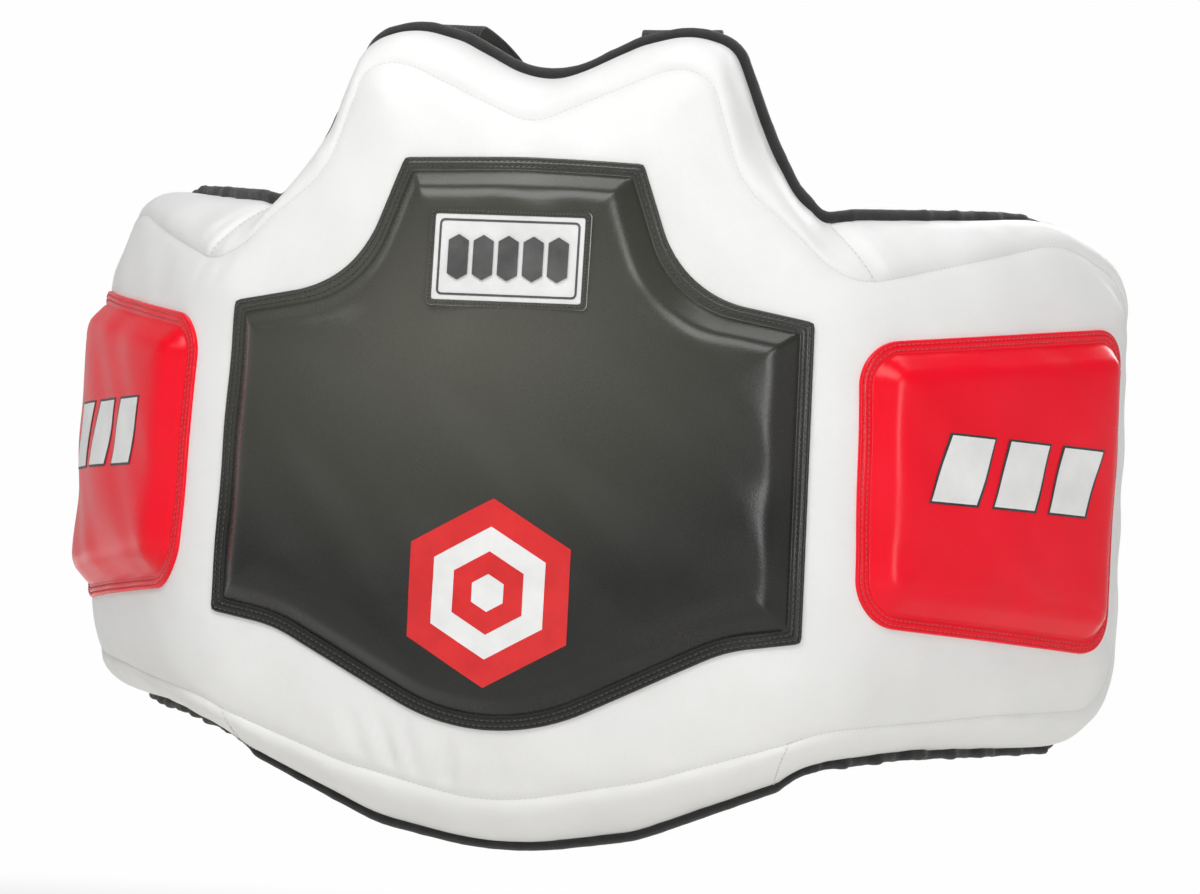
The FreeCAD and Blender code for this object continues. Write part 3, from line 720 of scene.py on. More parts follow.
# Shallow folds in the shell's leather: (station, z) of both ends, half-width and depth, all in mm
FOLDS = (
    ((-70, -172), (-60, -206), 4.0, 2.6),
    ((-52, -178), (-46, -208), 3.4, 2.2),
    ((-24, -184), (-27, -212), 4.2, 2.6),
    ((8, -192), (4, -215), 4.0, 0.7),
    ((-92, -166), (-80, -196), 5.0, 1.6),
    ((425, 118), (452, 96), 5.0, 1.5),
    ((412, 128), (440, 112), 4.0, 1.1),
    ((436, 96), (458, 70), 5.0, 1.0),
    ((-425, 116), (-448, 98), 5.0, 1.0),
    ((-205, 128), (-226, 96), 4.0, 1.4),
    ((-218, 132), (-240, 104), 4.5, 1.0),
    ((-190, 116), (-206, 88), 4.0, 0.9),
    ((214, 126), (228, 100), 4.0, 0.8),
    ((40, 178), (66, 196), 7.0, 0.6),
    ((-40, 178), (-66, 196), 7.0, 0.6),
    ((462, -60), (470, -110), 6.0, 0.8),
    ((-462, -40), (-470, -100), 6.0, 0.8),
    ((330, -156), (372, -160), 5.0, 0.7),
    ((-300, -160), (-352, -158), 5.0, 0.9),
)


def folds(flat):
    """Depth of the shell's shallow folds at (station, z) rows, never positive."""
    total = np.zeros(len(flat))
    for start, end, width, depth in FOLDS:
        a = np.array(start) * MM
        way = np.array(end) * MM - a
        share = ((flat - a) @ way) / (way @ way)
        gap = np.linalg.norm(flat - a - np.clip(share, 0, 1)[:, None] * way, axis=1)
        fade = ease((share + 0.25) / 0.5) * ease((1.25 - share) / 0.5)
        total -= depth * MM * fade * np.exp(-(gap / (width * MM)) ** 2)
        total += 0.45 * depth * MM * fade * np.exp(-((gap - 2 * width * MM) / (width * MM)) ** 2)
    return total


def softness(flat):
    """Hand-made unevenness of the padded shell."""
    u, v = flat[:, 0] * 2 * math.pi, flat[:, 1] * 2 * math.pi
    return 0.0005 * (np.sin(u / 0.131 + 1.3 * np.sin(v / 0.190)) + np.sin(v / 0.087 + u / 0.210 + 0.7)
                     + 0.6 * np.sin(u / 0.057 + v / 0.071 + 2.1))


# -------------------------------------------------------------------------- the shell

SEAM_CORNERS = mirror_corners([corner[0] for corner in SEAM_AND_EDGE])
EDGE_CORNERS = mirror_corners([corner[1] for corner in SEAM_AND_EDGE])
SHELL_STEPS = span_steps(EDGE_CORNERS, 0.0034)
SEAM_LOOP = outline(SEAM_CORNERS, 0.0, SHELL_STEPS)
EDGE_LOOP = outline(EDGE_CORNERS, 0.0042, SHELL_STEPS)
PANEL_EDGE = 0.060


def panel_rise(flat, gap=None):
    """Rise of the white front panel: crowned towards its seam, with a dip at the stitches."""
    if gap is None:
        gap = distance_to_loop(flat, SEAM_LOOP)
    crown = -SEAM_DEPTH * (1 - np.clip(gap / PANEL_EDGE, 0, 1)) ** 2.5
    dip = -0.0009 * np.exp(-(gap / 0.0024) ** 2)
    return crown + dip + (softness(flat) + folds(flat)) * ease(gap / 0.012)


PANEL_INSETS = (0.0, 0.0009, 0.002, 0.0036, 0.0056, 0.008, 0.011, 0.0145, 0.0185, 0.022)
LINING_INSETS = (0.0048, 0.0065, 0.0085, 0.011, 0.0145, 0.019)
PANEL_SPACING, LINING_SPACING = 0.0048, 0.0060


def build_front_panel():
    """White panel over the whole front, with close loops near its seam."""
    patch = Patch()
    rings = []
    for inset in PANEL_INSETS:
        loop = outline(SEAM_CORNERS, inset, SHELL_STEPS)
        rings.append((loop, panel_rise(loop, np.full(len(loop), inset))))
    patch.filled(rings, PANEL_SPACING, panel_rise)
    return patch.placed(Shell)


def gusset_puckers(way, share):
    """Short gathers across the gusset beside its joins, by distance round the seam."""
    total = np.zeros_like(way)
    for index in GUSSET_JOINS:
        gap = way - SEAM_WAY[index]
        total -= 0.0012 * np.exp(-(gap / 0.0024) ** 2)
        near = np.exp(-(gap / 0.032) ** 2) * (1 - np.exp(-(gap / 0.007) ** 2))
        total += 0.0004 * near * np.cos(gap * 2 * math.pi / 0.0145) * (1 - 0.6 * share)
    return total


SEAM_WAY = path_way(SEAM_LOOP)
JOIN_STATIONS = ((0.222, 1), (-0.222, 1), (0.180, -1), (-0.180, -1))
GUSSET_JOINS = [int(np.argmin(np.abs(SEAM_LOOP[:, 0] - station) + 10.0 * (SEAM_LOOP[:, 1] * side < 0)))
                for station, side in JOIN_STATIONS]
BAND_SHARES = (0.0, 0.02, 0.05, 0.1, 0.18, 0.28, 0.4, 0.52, 0.64, 0.76, 0.86, 0.94, 1.0)


def gusset_rings():
    """Loops across the side band, from the front seam to the back edge, bulging between them."""
    way = EDGE_LOOP - SEAM_LOOP
    width = np.linalg.norm(way, axis=1)
    outward = way / width[:, None]
    depth = EDGE_DEPTH - SEAM_DEPTH
    chord = np.hypot(width, depth)
    rings = []
    for share in BAND_SHARES:
        arch = 0.0068 * 4 * share * (1 - share) + 0.004 * math.sin(math.pi * share ** 0.6) * (1 - share)
        dip = -0.0009 * math.exp(-(share * 44 / 2.4) ** 2)
        flat = SEAM_LOOP + outward * (width * share + arch * depth / chord)[:, None]
        fade = math.sin(math.pi * (min(share * 1.4, 1.0) if share < 0.714 else 1 - share)) ** 0.5
        soft = (softness(flat * 1.7) * 1.2 + folds(flat)) * fade
        pull = math.sin(math.pi * min(share + 0.06, 1.0)) ** 0.4 if share < 1 else 0.0
        gather = gusset_puckers(SEAM_WAY, share) * pull
        rings.append((flat, -SEAM_DEPTH - depth * share + arch * width / chord + dip + soft + gather))
    return rings


def build_gusset():
    """White side band, tucked in under the binding."""
    patch = Patch()
    tuck = EDGE_LOOP - unit(EDGE_LOOP - SEAM_LOOP) * 0.004
    patch.loops(gusset_rings() + [(tuck, np.full(len(tuck), -EDGE_DEPTH - 0.0016))])
    return patch.placed(Shell)


def binding_wave(loop, way):
    """Gathers of the elastic edge, strongest low down near the wings, as a shift in depth."""
    low = ease((-0.13 - loop[:, 1]) / 0.03) * ease((np.abs(loop[:, 0]) - 0.20) / 0.05)
    high = ease((loop[:, 1] - 0.12) / 0.02) * ease((np.abs(loop[:, 0]) - 0.26) / 0.04)
    size = 0.0004 + 0.0016 * low + 0.0009 * high
    return size * (np.sin(way * 2 * math.pi / 0.031) + 0.5 * np.sin(way * 2 * math.pi / 0.013 + 1.0))


def build_binding():
    """Rolled fabric edge all round the back of the shell."""
    patch = Patch()
    centre = outline(EDGE_CORNERS, 0.0030, SHELL_STEPS)
    outward = unit(centre - outline(EDGE_CORNERS, 0.0060, SHELL_STEPS))
    wave = binding_wave(centre, path_way(centre))
    lip = 0.0036 + 0.0012 * ease((centre[:, 1] - 0.05) / 0.1) + 0.35 * np.abs(wave)
    sides = 12
    starts = []
    for k in range(sides):
        angle = 2 * math.pi * k / sides
        flat = centre + outward * (lip * math.cos(angle))[:, None]
        starts.append(patch.add(flat, -(SHELL_DEPTH - 0.0046) + 0.0050 * math.sin(angle) + wave))
    for first, second in zip(starts, starts[1:] + starts[:1]):
        patch.bridge(first, second, len(centre))
    return patch.placed(Shell)


def build_lining():
    """Black cloth on the wearer's side, slightly pillowed, with a tuck along each fold."""
    patch = Patch()

    def rise_of(flat):
        gap = distance_to_loop(flat, EDGE_LOOP)
        tuck = 0.0022 * np.exp(-((np.abs(flat[:, 0]) - HINGE_STATION) / 0.0045) ** 2)
        pillow = 0.0042 * ease(gap / 0.034) + softness(flat * 1.3) * ease(gap / 0.03)
        return -(SHELL_DEPTH - 0.0008) - pillow + tuck * ease(gap / 0.02)

    rings = []
    for inset in LINING_INSETS:
        loop = outline(EDGE_CORNERS, inset, SHELL_STEPS)
        rings.append((loop, rise_of(loop)))
    patch.filled(rings, LINING_SPACING, rise_of)
    return patch.placed(Shell)


SKINS = (
    ("front_panel", build_front_panel, WHITE_LEATHER, "white_leather",
     ("chest_front_panel", "chest_gel_layer", "chest_impact_foam"),
     ("{}_wing_front_panel", "{}_wing_gel_layer", "{}_wing_impact_foam"), (0, -1, 0)),
    ("side_gusset", build_gusset, WHITE_LEATHER, "white_leather",
     ("chest_upper_side_gusset", "chest_lower_side_gusset"), ("{}_wing_side_gusset",), (0, -1, 0)),
    ("edge_binding", build_binding, BINDING, "black_binding",
     ("chest_upper_edge_binding", "chest_lower_edge_binding"), ("{}_wing_edge_binding",), None),
    ("back_lining", build_lining, LINING, "black_lining",
     ("chest_back_lining",), ("{}_wing_back_lining",), (0, 1, 0)),
)


def looks_back(points, faces, toward):
    """Whether faces look away from a direction or, with none given, into their closed form."""
    probe = new_object("probe", points, faces, None)
    wrong = inside_out(probe) if toward is None else facing(probe).dot(Vector(toward)) < 0
    bpy.data.objects.remove(probe)
    return wrong


def build_skins():
    """The shell's white panel and gusset, its binding and its lining, each in two halves."""
    for name, builder, material, slot, chest_nodes, wing_nodes, toward in SKINS:
        points, faces = builder()
        if looks_back(points, faces, toward):
            faces = [tuple(reversed(face)) for face in faces]
        for half in halves(name, points, faces, material):
            side = "left" if half.name.endswith("left") else "right"
            flex(half)
            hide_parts(*chest_nodes, *[node.format(side) for node in wing_nodes])


# --------------------------------------------------------------------------- the pads

TARGET_CORNERS = mirror_corners([
    (0, 167.5, 300), (74, 165, 3), (101.7, 89.5, 134), (181, 76, 3),
    (184, -113, 3), (140, -120.3, 90), (0, -190.3, 131),
])
SIDE_PAD_CORNERS = [(209, 66, 28), (430, 96, 26), (427, -108, 28), (215, -100, 30)]


class Pad:
    """A raised pad: stitched flange, sloping border and crowned face, laid on the front panel."""

    def __init__(self, corners, height, slope, crest, crown):
        self.corners = corners
        self.height = height
        self.slope = slope
        self.crest = crest
        self.crown = crown
        self.steps = span_steps(corners, 0.0030)
        self.loop = outline(corners, 0.0, self.steps)

    def profile(self, gap):
        """Rise above the panel by distance from the outer edge."""
        inside = gap - FLANGE
        ramp = np.clip(inside / self.slope, 0, None)
        soft = self.crest / self.slope
        bend = 1 - soft + soft * (1 - np.exp(-(ramp - 1 + soft) / soft))
        body = np.where(ramp < 1 - soft, ramp, bend)
        body = np.where(inside > 0, body, 0.0)
        rise = FLANGE_RISE + (self.height - FLANGE_RISE) * body
        for row in STITCH_ROWS:
            rise = rise - 0.00045 * np.exp(-((gap - row) / 0.0009) ** 2)
        rise = rise - 0.0006 * np.exp(-((gap - FLANGE) / 0.0012) ** 2)
        edge = np.sqrt(np.clip(1 - (1 - np.clip(gap / 0.0012, 0, 1)) ** 2, 0, 1))
        return rise - 0.0014 * (1 - edge)

    def rise(self, flat, gap=None):
        """Rise above the shell's outer surface at (station, z) rows."""
        gap = distance_to_loop(flat, self.loop) if gap is None else gap
        crown = self.crown * (1 - np.exp(-np.clip(gap - FLANGE - self.slope, 0, None) / 0.045))
        uneven = 0.5 * softness(flat * 1.4) * ease((gap - FLANGE) / 0.02)
        return panel_rise(flat) + self.profile(gap) + crown + uneven

    def build(self, name, material):
        """The pad's cover, with close loops over the flange and the slope."""
        patch = Patch()
        slope = np.arange(0.0105, FLANGE + self.slope + 0.006, 0.0014)
        rings = [(self.loop, panel_rise(self.loop) - 0.0012)]
        for inset in (*FLANGE_INSETS, *slope):
            loop = outline(self.corners, inset, self.steps)
            rings.append((loop, self.rise(loop, np.full(len(loop), inset))))
        patch.filled(rings, PAD_SPACING, self.rise)
        made = new_object(name, *patch.placed(Shell), material)
        side = np.sign(np.mean([u for u, _, _ in self.corners]))
        toward = shell_normal(np.array([[0.25 * side, 0.0]]))[0]
        return face_outward(made, Vector(toward))

    def stitches(self, name, material):
        """Both rows of stitches on the flange."""
        rows = []
        for number, inset in enumerate(STITCH_ROWS):
            loop = outline(self.corners, inset, self.steps)

            def level(flat, gap=inset):
                return self.rise(flat, np.full(len(flat), gap)) + 0.0002

            rows.append(stitch_row(f"{name}_{number}", Shell, loop, level, PAD_PITCH, PAD_THREAD,
                                   material))
        return join(name, rows)


FLANGE = 0.0082
FLANGE_RISE = 0.0025
FLANGE_INSETS = (0.0, 0.0003, 0.0008, 0.0014, 0.0020, 0.0026, 0.0033, 0.0040, 0.0047, 0.0054,
                 0.0061, 0.0068, 0.0074, 0.0080, 0.0086, 0.0093)
STITCH_ROWS = (0.0024, 0.0056)
PAD_SPACING = 0.0040

# height, slope's width, crest's softness and crown
TARGET = Pad(TARGET_CORNERS, 0.0168, 0.0135, 0.0042, 0.0026)
LEFT_PAD = Pad(SIDE_PAD_CORNERS, 0.0150, 0.0135, 0.0046, 0.0016)
RIGHT_PAD = Pad([(-u, v, radius) for u, v, radius in reversed(SIDE_PAD_CORNERS)],
                0.0150, 0.0135, 0.0046, 0.0016)


def build_pads():
    """The target and the two side pads, with their stitching."""
    for name, pad, leather_of, thread_of, body, slot, fill in (
            ("target_pad", TARGET, BLACK_LEATHER, BLACK_THREAD, "chest", "black_leather", 0.95),
            ("left_side_pad", LEFT_PAD, RED_LEATHER, RED_THREAD, "left_wing", "red_leather", 0.9),
            ("right_side_pad", RIGHT_PAD, RED_LEATHER, RED_THREAD, "right_wing", "red_leather", 0.9)):
        cover = pad.build(name, leather_of)
        attach(cover, body, slot, name + "_cover", name + "_foam", name + "_gel")
        attach(pad.stitches(name + "_stitching", thread_of), body, slot)


SEAM_PITCH, JOIN_PITCH, PAD_PITCH = 0.0034, 0.0036, 0.0034
SEAM_THREAD, PAD_THREAD = 0.00045, 0.00042
SEAM_SUNK = 0.0013


def sewn_across(name, tails, heads, normals):
    """White stitches on the shell."""
    row = thread_mesh(name, shell_point(tails[:, :2], tails[:, 2]),
                      shell_point(heads[:, :2], heads[:, 2]), normals, SEAM_THREAD, WHITE_THREAD)
    flex(row)


def build_seam_stitches():
    """Stitches of the shell's front seam, sunk in its valley, in two halves."""
    level = np.full((len(SEAM_LOOP), 1), -SEAM_DEPTH - SEAM_SUNK)
    tails, heads = resample(np.hstack([SEAM_LOOP, level]), SEAM_PITCH)
    middle = (tails + heads) / 2
    for side, chosen in (("left", middle[:, 0] >= 0), ("right", middle[:, 0] < 0)):
        outward = unit(shell_normal(middle[chosen]) * 0.8 + np.array([0, 0, 0.001]))
        sewn_across("seam_stitching_" + side, tails[chosen], heads[chosen], outward)


def build_join_stitches():
    """Short sewn lines across the gusset where its strips meet."""
    rings = gusset_rings()[1:-1]
    for number, index in enumerate(GUSSET_JOINS):
        line = np.array([[*flat[index], rise[index]] for flat, rise in rings])
        tails, heads = resample(line, JOIN_PITCH, closed=False)
        normals = shell_normal(tails) * 0.6
        normals[:, 2] += unit(EDGE_LOOP[index] - SEAM_LOOP[index])[1]
        sewn_across(f"join_stitching_{number + 1}",
                    tails, heads, unit(normals))


# ------------------------------------------------------------------------------ marks

def hexagon(centre, half_width, half_height):
    """Corners of a tall hexagon with points at the top and bottom."""
    u, v = centre
    return [(u, v + half_height), (u + half_width, v + half_height / 2),
            (u + half_width, v - half_height / 2), (u, v - half_height),
            (u - half_width, v - half_height / 2), (u - half_width, v + half_height / 2)]


def dense_loop(corners, spacing):
    """Straight sides between corners, cut into short steps."""
    rows = []
    for i, corner in enumerate(corners):
        a, b = np.array(corner), np.array(corners[(i + 1) % len(corners)])
        count = max(2, math.ceil(np.linalg.norm(b - a) / spacing))
        rows += [a + (b - a) * k / count for k in range(count)]
    return np.array(rows)


def decal(name, corners, pad, lift, material):
    """A printed shape that follows a pad's face."""
    loop = dense_loop(corners, PRINT_SPACING)
    grid, faces = fill_loop(loop, PRINT_SPACING)
    flat = np.concatenate([loop, grid])
    made = new_object(name, shell_point(flat, pad.rise(flat) + lift), faces, material)
    return face_outward(made, Vector(shell_normal(flat.mean(0)[None])[0]))


PRINT_SPACING = 0.0035
PRINT_LIFT = 0.00030
PRINT_LAYER = 0.00012
MARK_CENTRE = (0.0, -0.094)
MARK_HALF_WIDTH, MARK_HALF_HEIGHT = 0.0485, 0.056
MARK_SIZES = (1.0, 0.70, 0.44, 0.20)
BAR_STATION, BAR_SPACING = 0.322, 0.046
BAR_LOW, BAR_HIGH, BAR_HALF, BAR_SLANT = -0.024, 0.016, 0.0165, 0.006
BAR_EDGE = 0.0014


def slanted_bar(middle, grow):
    """Corners of a slanted bar, grown on every side."""
    low, high, half = BAR_LOW - grow, BAR_HIGH + grow, BAR_HALF + grow * 1.2
    return [(middle - half + BAR_SLANT, high), (middle + half + BAR_SLANT, high),
            (middle + half - BAR_SLANT, low), (middle - half - BAR_SLANT, low)]


def build_marks():
    """Generic printed marks: nested hexagons on the target, three slanted bars on each side pad."""
    for number, size in enumerate(MARK_SIZES):
        material, slot = (PRINT_WHITE, "white_leather") if number % 2 else (PRINT_RED, "red_leather")
        corners = hexagon(MARK_CENTRE, MARK_HALF_WIDTH * size, MARK_HALF_HEIGHT * size)
        attach(decal(f"target_mark_{number + 1}", corners, TARGET, PRINT_LIFT + PRINT_LAYER * number,
                     material), "chest", slot)
    for side, sign, pad in (("left", 1, LEFT_PAD), ("right", -1, RIGHT_PAD)):
        for number in range(3):
            middle = sign * BAR_STATION + (number - 1) * BAR_SPACING
            for label, grow, layer, material, slot in (
                    ("edge", BAR_EDGE, 0, PRINT_DARK, "badge_grey"),
                    ("bar", 0.0, 1, PRINT_WHITE, "badge_white")):
                bar = decal(f"{side}_pad_{label}_{number + 1}", slanted_bar(middle, grow), pad,
                            PRINT_LIFT + PRINT_LAYER * layer, material)
                attach(bar, side + "_wing", slot)


# -------------------------------------------------------------------------- harness

WEB_HALF = 0.025
WEB_THICKNESS = 0.002
SEWN_GAP = WEB_THICKNESS / 2 + 0.00025      # from webbing's middle to leather sewn on it
RIPPLE, RIPPLE_LENGTH = 0.00022, 0.0052
HARNESS_PITCH, HARNESS_THREAD = 0.0036, 0.0004
CROSS_SECTION = (
    (-1.0, 0.0), (-0.985, 0.75), (-0.95, 1.0), (-0.62, 0.86), (-0.3, 0.96), (0.0, 0.86), (0.3, 0.96),
    (0.62, 0.86), (0.95, 1.0), (0.985, 0.75), (1.0, 0.0), (0.985, -0.75), (0.95, -1.0), (0.62, -0.86),
    (0.3, -0.96), (0.0, -0.86), (-0.3, -0.96), (-0.62, -0.86), (-0.95, -1.0), (-0.985, -0.75),
)


def run(start, heading, pieces, spacing=0.0022):
    """Points and directions along straight (length, 0) and curved (radius, turn) pieces."""
    point = np.array(start, float)
    angle = math.radians(heading)
    points, angles = [point.copy()], [angle]
    for size, turn in pieces:
        sweep = math.radians(turn)
        length = abs(size * sweep) if turn else size
        count = max(1, math.ceil(length / spacing))
        for k in range(count):
            if turn:
                middle = angle + sweep / count / 2
                chord = 2 * size * math.sin(abs(sweep) / count / 2)
                point = point + chord * np.array([math.cos(middle), math.sin(middle)])
                angle += sweep / count
            else:
                point = point + size / count * np.array([math.cos(angle), math.sin(angle)])
            points.append(point.copy())
            angles.append(angle)
    return np.array(points), np.array(angles)


def ribbon(name, centres, normals, widths, material):
    """Flat webbing along centres, with its layout in metres kept as UVs for the weave."""
    count, sides = len(centres), len(CROSS_SECTION)
    section = np.array(CROSS_SECTION)
    points = (centres[:, None] + widths[:, None] * section[None, :, :1]
              + normals[:, None] * (section[None, :, 1:] * WEB_THICKNESS / 2)).reshape(-1, 3)
    faces = []
    for i in range(count - 1):
        for k in range(sides):
            n = (k + 1) % sides
            faces.append((i * sides + k, i * sides + n, (i + 1) * sides + n, (i + 1) * sides + k))
    faces.append(tuple(reversed(range(sides))))
    faces.append(tuple((count - 1) * sides + k for k in range(sides)))
    made = turn_outward(new_object(name, points, faces, material))
    way = path_way(centres)
    half = np.linalg.norm(widths, axis=1).mean()
    layout = made.data.uv_layers.new(name="strap")
    for loop in made.data.loops:
        i, k = divmod(loop.vertex_index, sides)
        layout.data[loop.index].uv = (section[k, 0] * half, way[i])
    return made


def mirror_piece(piece, name):
    """The wearer's right-hand copy of a left-hand piece."""
    copy = piece.copy()
    copy.data = piece.data.copy()
    copy.name = name
    copy.data.name = name
    copy.data.transform(Matrix.Diagonal((-1, 1, 1, 1)))
    copy.data.flip_normals()
    bpy.context.scene.collection.objects.link(copy)
    return copy


def upright_ribbon(name, start, heading, pieces, height, material, ripple=0.0):
    """Webbing on edge along a plan route, with fine ripples if it is elastic."""
    flat, angles = run(start, heading, pieces)
    shift = ripple * np.sin(path_way(flat) * 2 * math.pi / RIPPLE_LENGTH)
    level = np.zeros(len(flat))
    centres = np.stack([flat[:, 0] - np.sin(angles) * shift, flat[:, 1] + np.cos(angles) * shift,
                        level + height], 1)
    normals = np.stack([-np.sin(angles), np.cos(angles), level], 1)
    return ribbon(name, centres, normals, np.repeat([[0.0, 0.0, WEB_HALF]], len(flat), 0), material)


def seam_box(name, place, half_u, low, high, level, cross=True):
    """A sewn rectangle, usually with a cross inside it, on a flat place."""
    corners = np.array([(-half_u, low), (-half_u, high), (half_u, high), (half_u, low)])
    lines = [(corners[i], corners[(i + 1) % 4]) for i in range(4)]
    if cross:
        lines += [(corners[0], corners[2]), (corners[1], corners[3])]
    rows = []
    for number, (a, b) in enumerate(lines):
        tails, heads = resample(np.linspace(a, b, 12), HARNESS_PITCH, closed=False)
        rows.append(thread_mesh(f"{name}_{number}", place.point(tails, level),
                                place.point(heads, level), place.normal(tails), HARNESS_THREAD,
                                BLACK_THREAD))
    return join(name, rows)


def rear_station(distance):
    """Plan point of the lining's surface and the heading there, at a station of the left wing."""
    x, y, angle = plan_curve(np.array([distance]))
    depth = SHELL_DEPTH + ELASTIC_GAP
    return (float(x[0] - math.sin(angle[0]) * depth), float(y[0] + math.cos(angle[0]) * depth),
            math.degrees(float(angle[0])))


ELASTIC_GAP = 0.0014
ELASTIC_STATION = 0.452
ELASTIC_TAB = 0.016
ELASTIC_BEND = 0.026
BACK_STRAP_HEIGHT = 0.030
BELT_HEIGHT = -0.095
YOKE_SIZE = (0.124, 0.108)
YOKE_HEIGHT = 0.048
RING_SLACK = 0.0042
RING_STATION = 0.118
ELASTIC_END = 0.205
BACK_STRAP_LAP = 0.020
BACK_STRAP_STOP = 0.014
BELT_START = 0.225
SEAM_HALF = 0.021
THREAD_LIFT = 0.0002
LAP = 0.0023
START_X, START_Y, START_HEADING = rear_station(ELASTIC_STATION)
CURVE = [(ELASTIC_TAB, 0), (ELASTIC_BEND, 180 - START_HEADING)]
CORNER = run((START_X, START_Y), START_HEADING, CURVE)[0][-1]
BELT_Y = float(CORNER[1])
STRAP_Y = BELT_Y + LAP


def back_plane(level, height=0.0, station=0.0):
    """Flat place on the wearer's back, seen from behind."""
    return Plane((station, level, height), (-1, 0, 0), (0, 0, 1))


def elastic(name, side, run_length, extra, height, node):
    """Elastic webbing from a wing's rear edge."""
    pieces = CURVE + [(run_length, 0)] + extra
    piece = upright_ribbon(name, (START_X, START_Y), START_HEADING, pieces, height, ELASTIC, RIPPLE)
    sign = 1
    if side == "right":
        first, piece, sign = piece, mirror_piece(piece, name + "_mirrored"), -1
        bpy.data.objects.remove(first)
        piece.name = name
    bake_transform(piece)
    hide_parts(node)


def strap_pair(strap, name, node):
    """Puts a left-hand webbing piece and its mirrored copy, right_ and a name, on the chest."""
    other = mirror_piece(strap, "right_" + name)
    for side, piece in (("left", strap), ("right", other)):
        attach(piece, "chest", "black_webbing", f"{side}_{node}")


STRAP_STATION = 0.078
STRAP_LEAN = 0.204
STRAP_START = (0.0076, 0.200)       # y and z behind the ear
STRAP_FOLD = [(0.046, 0), (0.009, -98.0), (0.180, -27.0)]
STRAP_LANDING = [(0.030, -55.0)]
STRAP_SLOPE = math.radians(35.0)
STRAP_END = 0.046


def build_shoulder_straps():
    """Webbing from behind each ear, folded back over its seam and down to the yoke."""
    first, angles = run(STRAP_START, 90, STRAP_FOLD)
    reach = run((0, 0), math.degrees(angles[-1]), STRAP_LANDING)[0][-1][0]
    straight = (STRAP_Y - first[-1][0] - reach) / math.cos(STRAP_SLOPE)
    route = STRAP_FOLD + [(straight, 0)] + STRAP_LANDING + [(STRAP_END, 0)]
    flat, angles = run(STRAP_START, 90, route)
    half = WEB_HALF / math.cos(math.atan(STRAP_LEAN * math.cos(STRAP_SLOPE)))
    way = np.linspace(0, 1, len(flat))
    twist = 0.0012 * np.sin(way * 9.0) * np.sin(way * math.pi)
    centres = np.stack([STRAP_STATION - STRAP_LEAN * flat[:, 0], flat[:, 0], flat[:, 1]], 1)
    normals = np.stack([np.zeros(len(flat)), -np.sin(angles), np.cos(angles)], 1)
    widths = np.repeat([[half, 0.0, 0.0]], len(flat), 0) + normals * twist[:, None]
    strap = ribbon("left_shoulder_strap_webbing", centres, normals, widths, WEBBING)
    strap_pair(strap, "shoulder_strap_webbing", "shoulder_strap")


PLATE_INSETS = (0.0, 0.0003, 0.0008, 0.0016, 0.0028, 0.0036, 0.0045, 0.0054, 0.0064, 0.0085, 0.011)


def sewn_plate(name, node, corners, plane, thickness, inset=0.0045, spacing=0.0045, puff=0.0006):
    """Leather patch with a rounded edge, sewn down near its border."""
    steps = span_steps(corners, spacing * 0.7)
    patch = Patch()
    edge = outline(corners, 0.0, steps)

    def top(flat):
        gap = distance_to_loop(flat, edge)
        dip = 0.0005 * np.exp(-((gap - inset) / 0.0011) ** 2)
        round_edge = np.sqrt(np.clip(1 - (1 - np.clip(gap / 0.001, 0, 1)) ** 2, 0, 1))
        uneven = 1 + 0.3 * np.sin(flat[:, 0] * 90) * np.sin(flat[:, 1] * 70)
        swell = puff * ease((gap - inset) / 0.012) * uneven
        return thickness - 0.0008 * (1 - round_edge) - dip + swell

    under = outline(corners, 0.0012, steps)
    rings = [(under, np.zeros(len(edge))), (edge, np.full(len(edge), 0.0003))]
    for gap in PLATE_INSETS:
        loop = outline(corners, gap, steps)
        rings.append((loop, top(loop)))
    patch.filled(rings, spacing, top)
    patch.fill(under, 0, spacing * 2, lambda grid: np.zeros(len(grid)), 1)
    made = turn_outward(new_object(name, *patch.placed(plane), YOKE_LEATHER))
    thread = stitch_row(name + "_stitching", plane, outline(corners, inset, steps),
                        lambda flat: top(flat) + 0.0002, HARNESS_PITCH, HARNESS_THREAD, BLACK_THREAD)
    attach(made, "chest", "yoke_leather", node)
    attach(thread, "chest", "yoke_leather")


def rectangle(size_u, size_v, radius):
    """Clockwise corners in mm of a rounded rectangle given in metres, centred on nothing."""
    u, v = size_u / 2 / MM, size_v / 2 / MM
    return [(-u, v, radius), (u, v, radius), (u, -v, radius), (-u, -v, radius)]


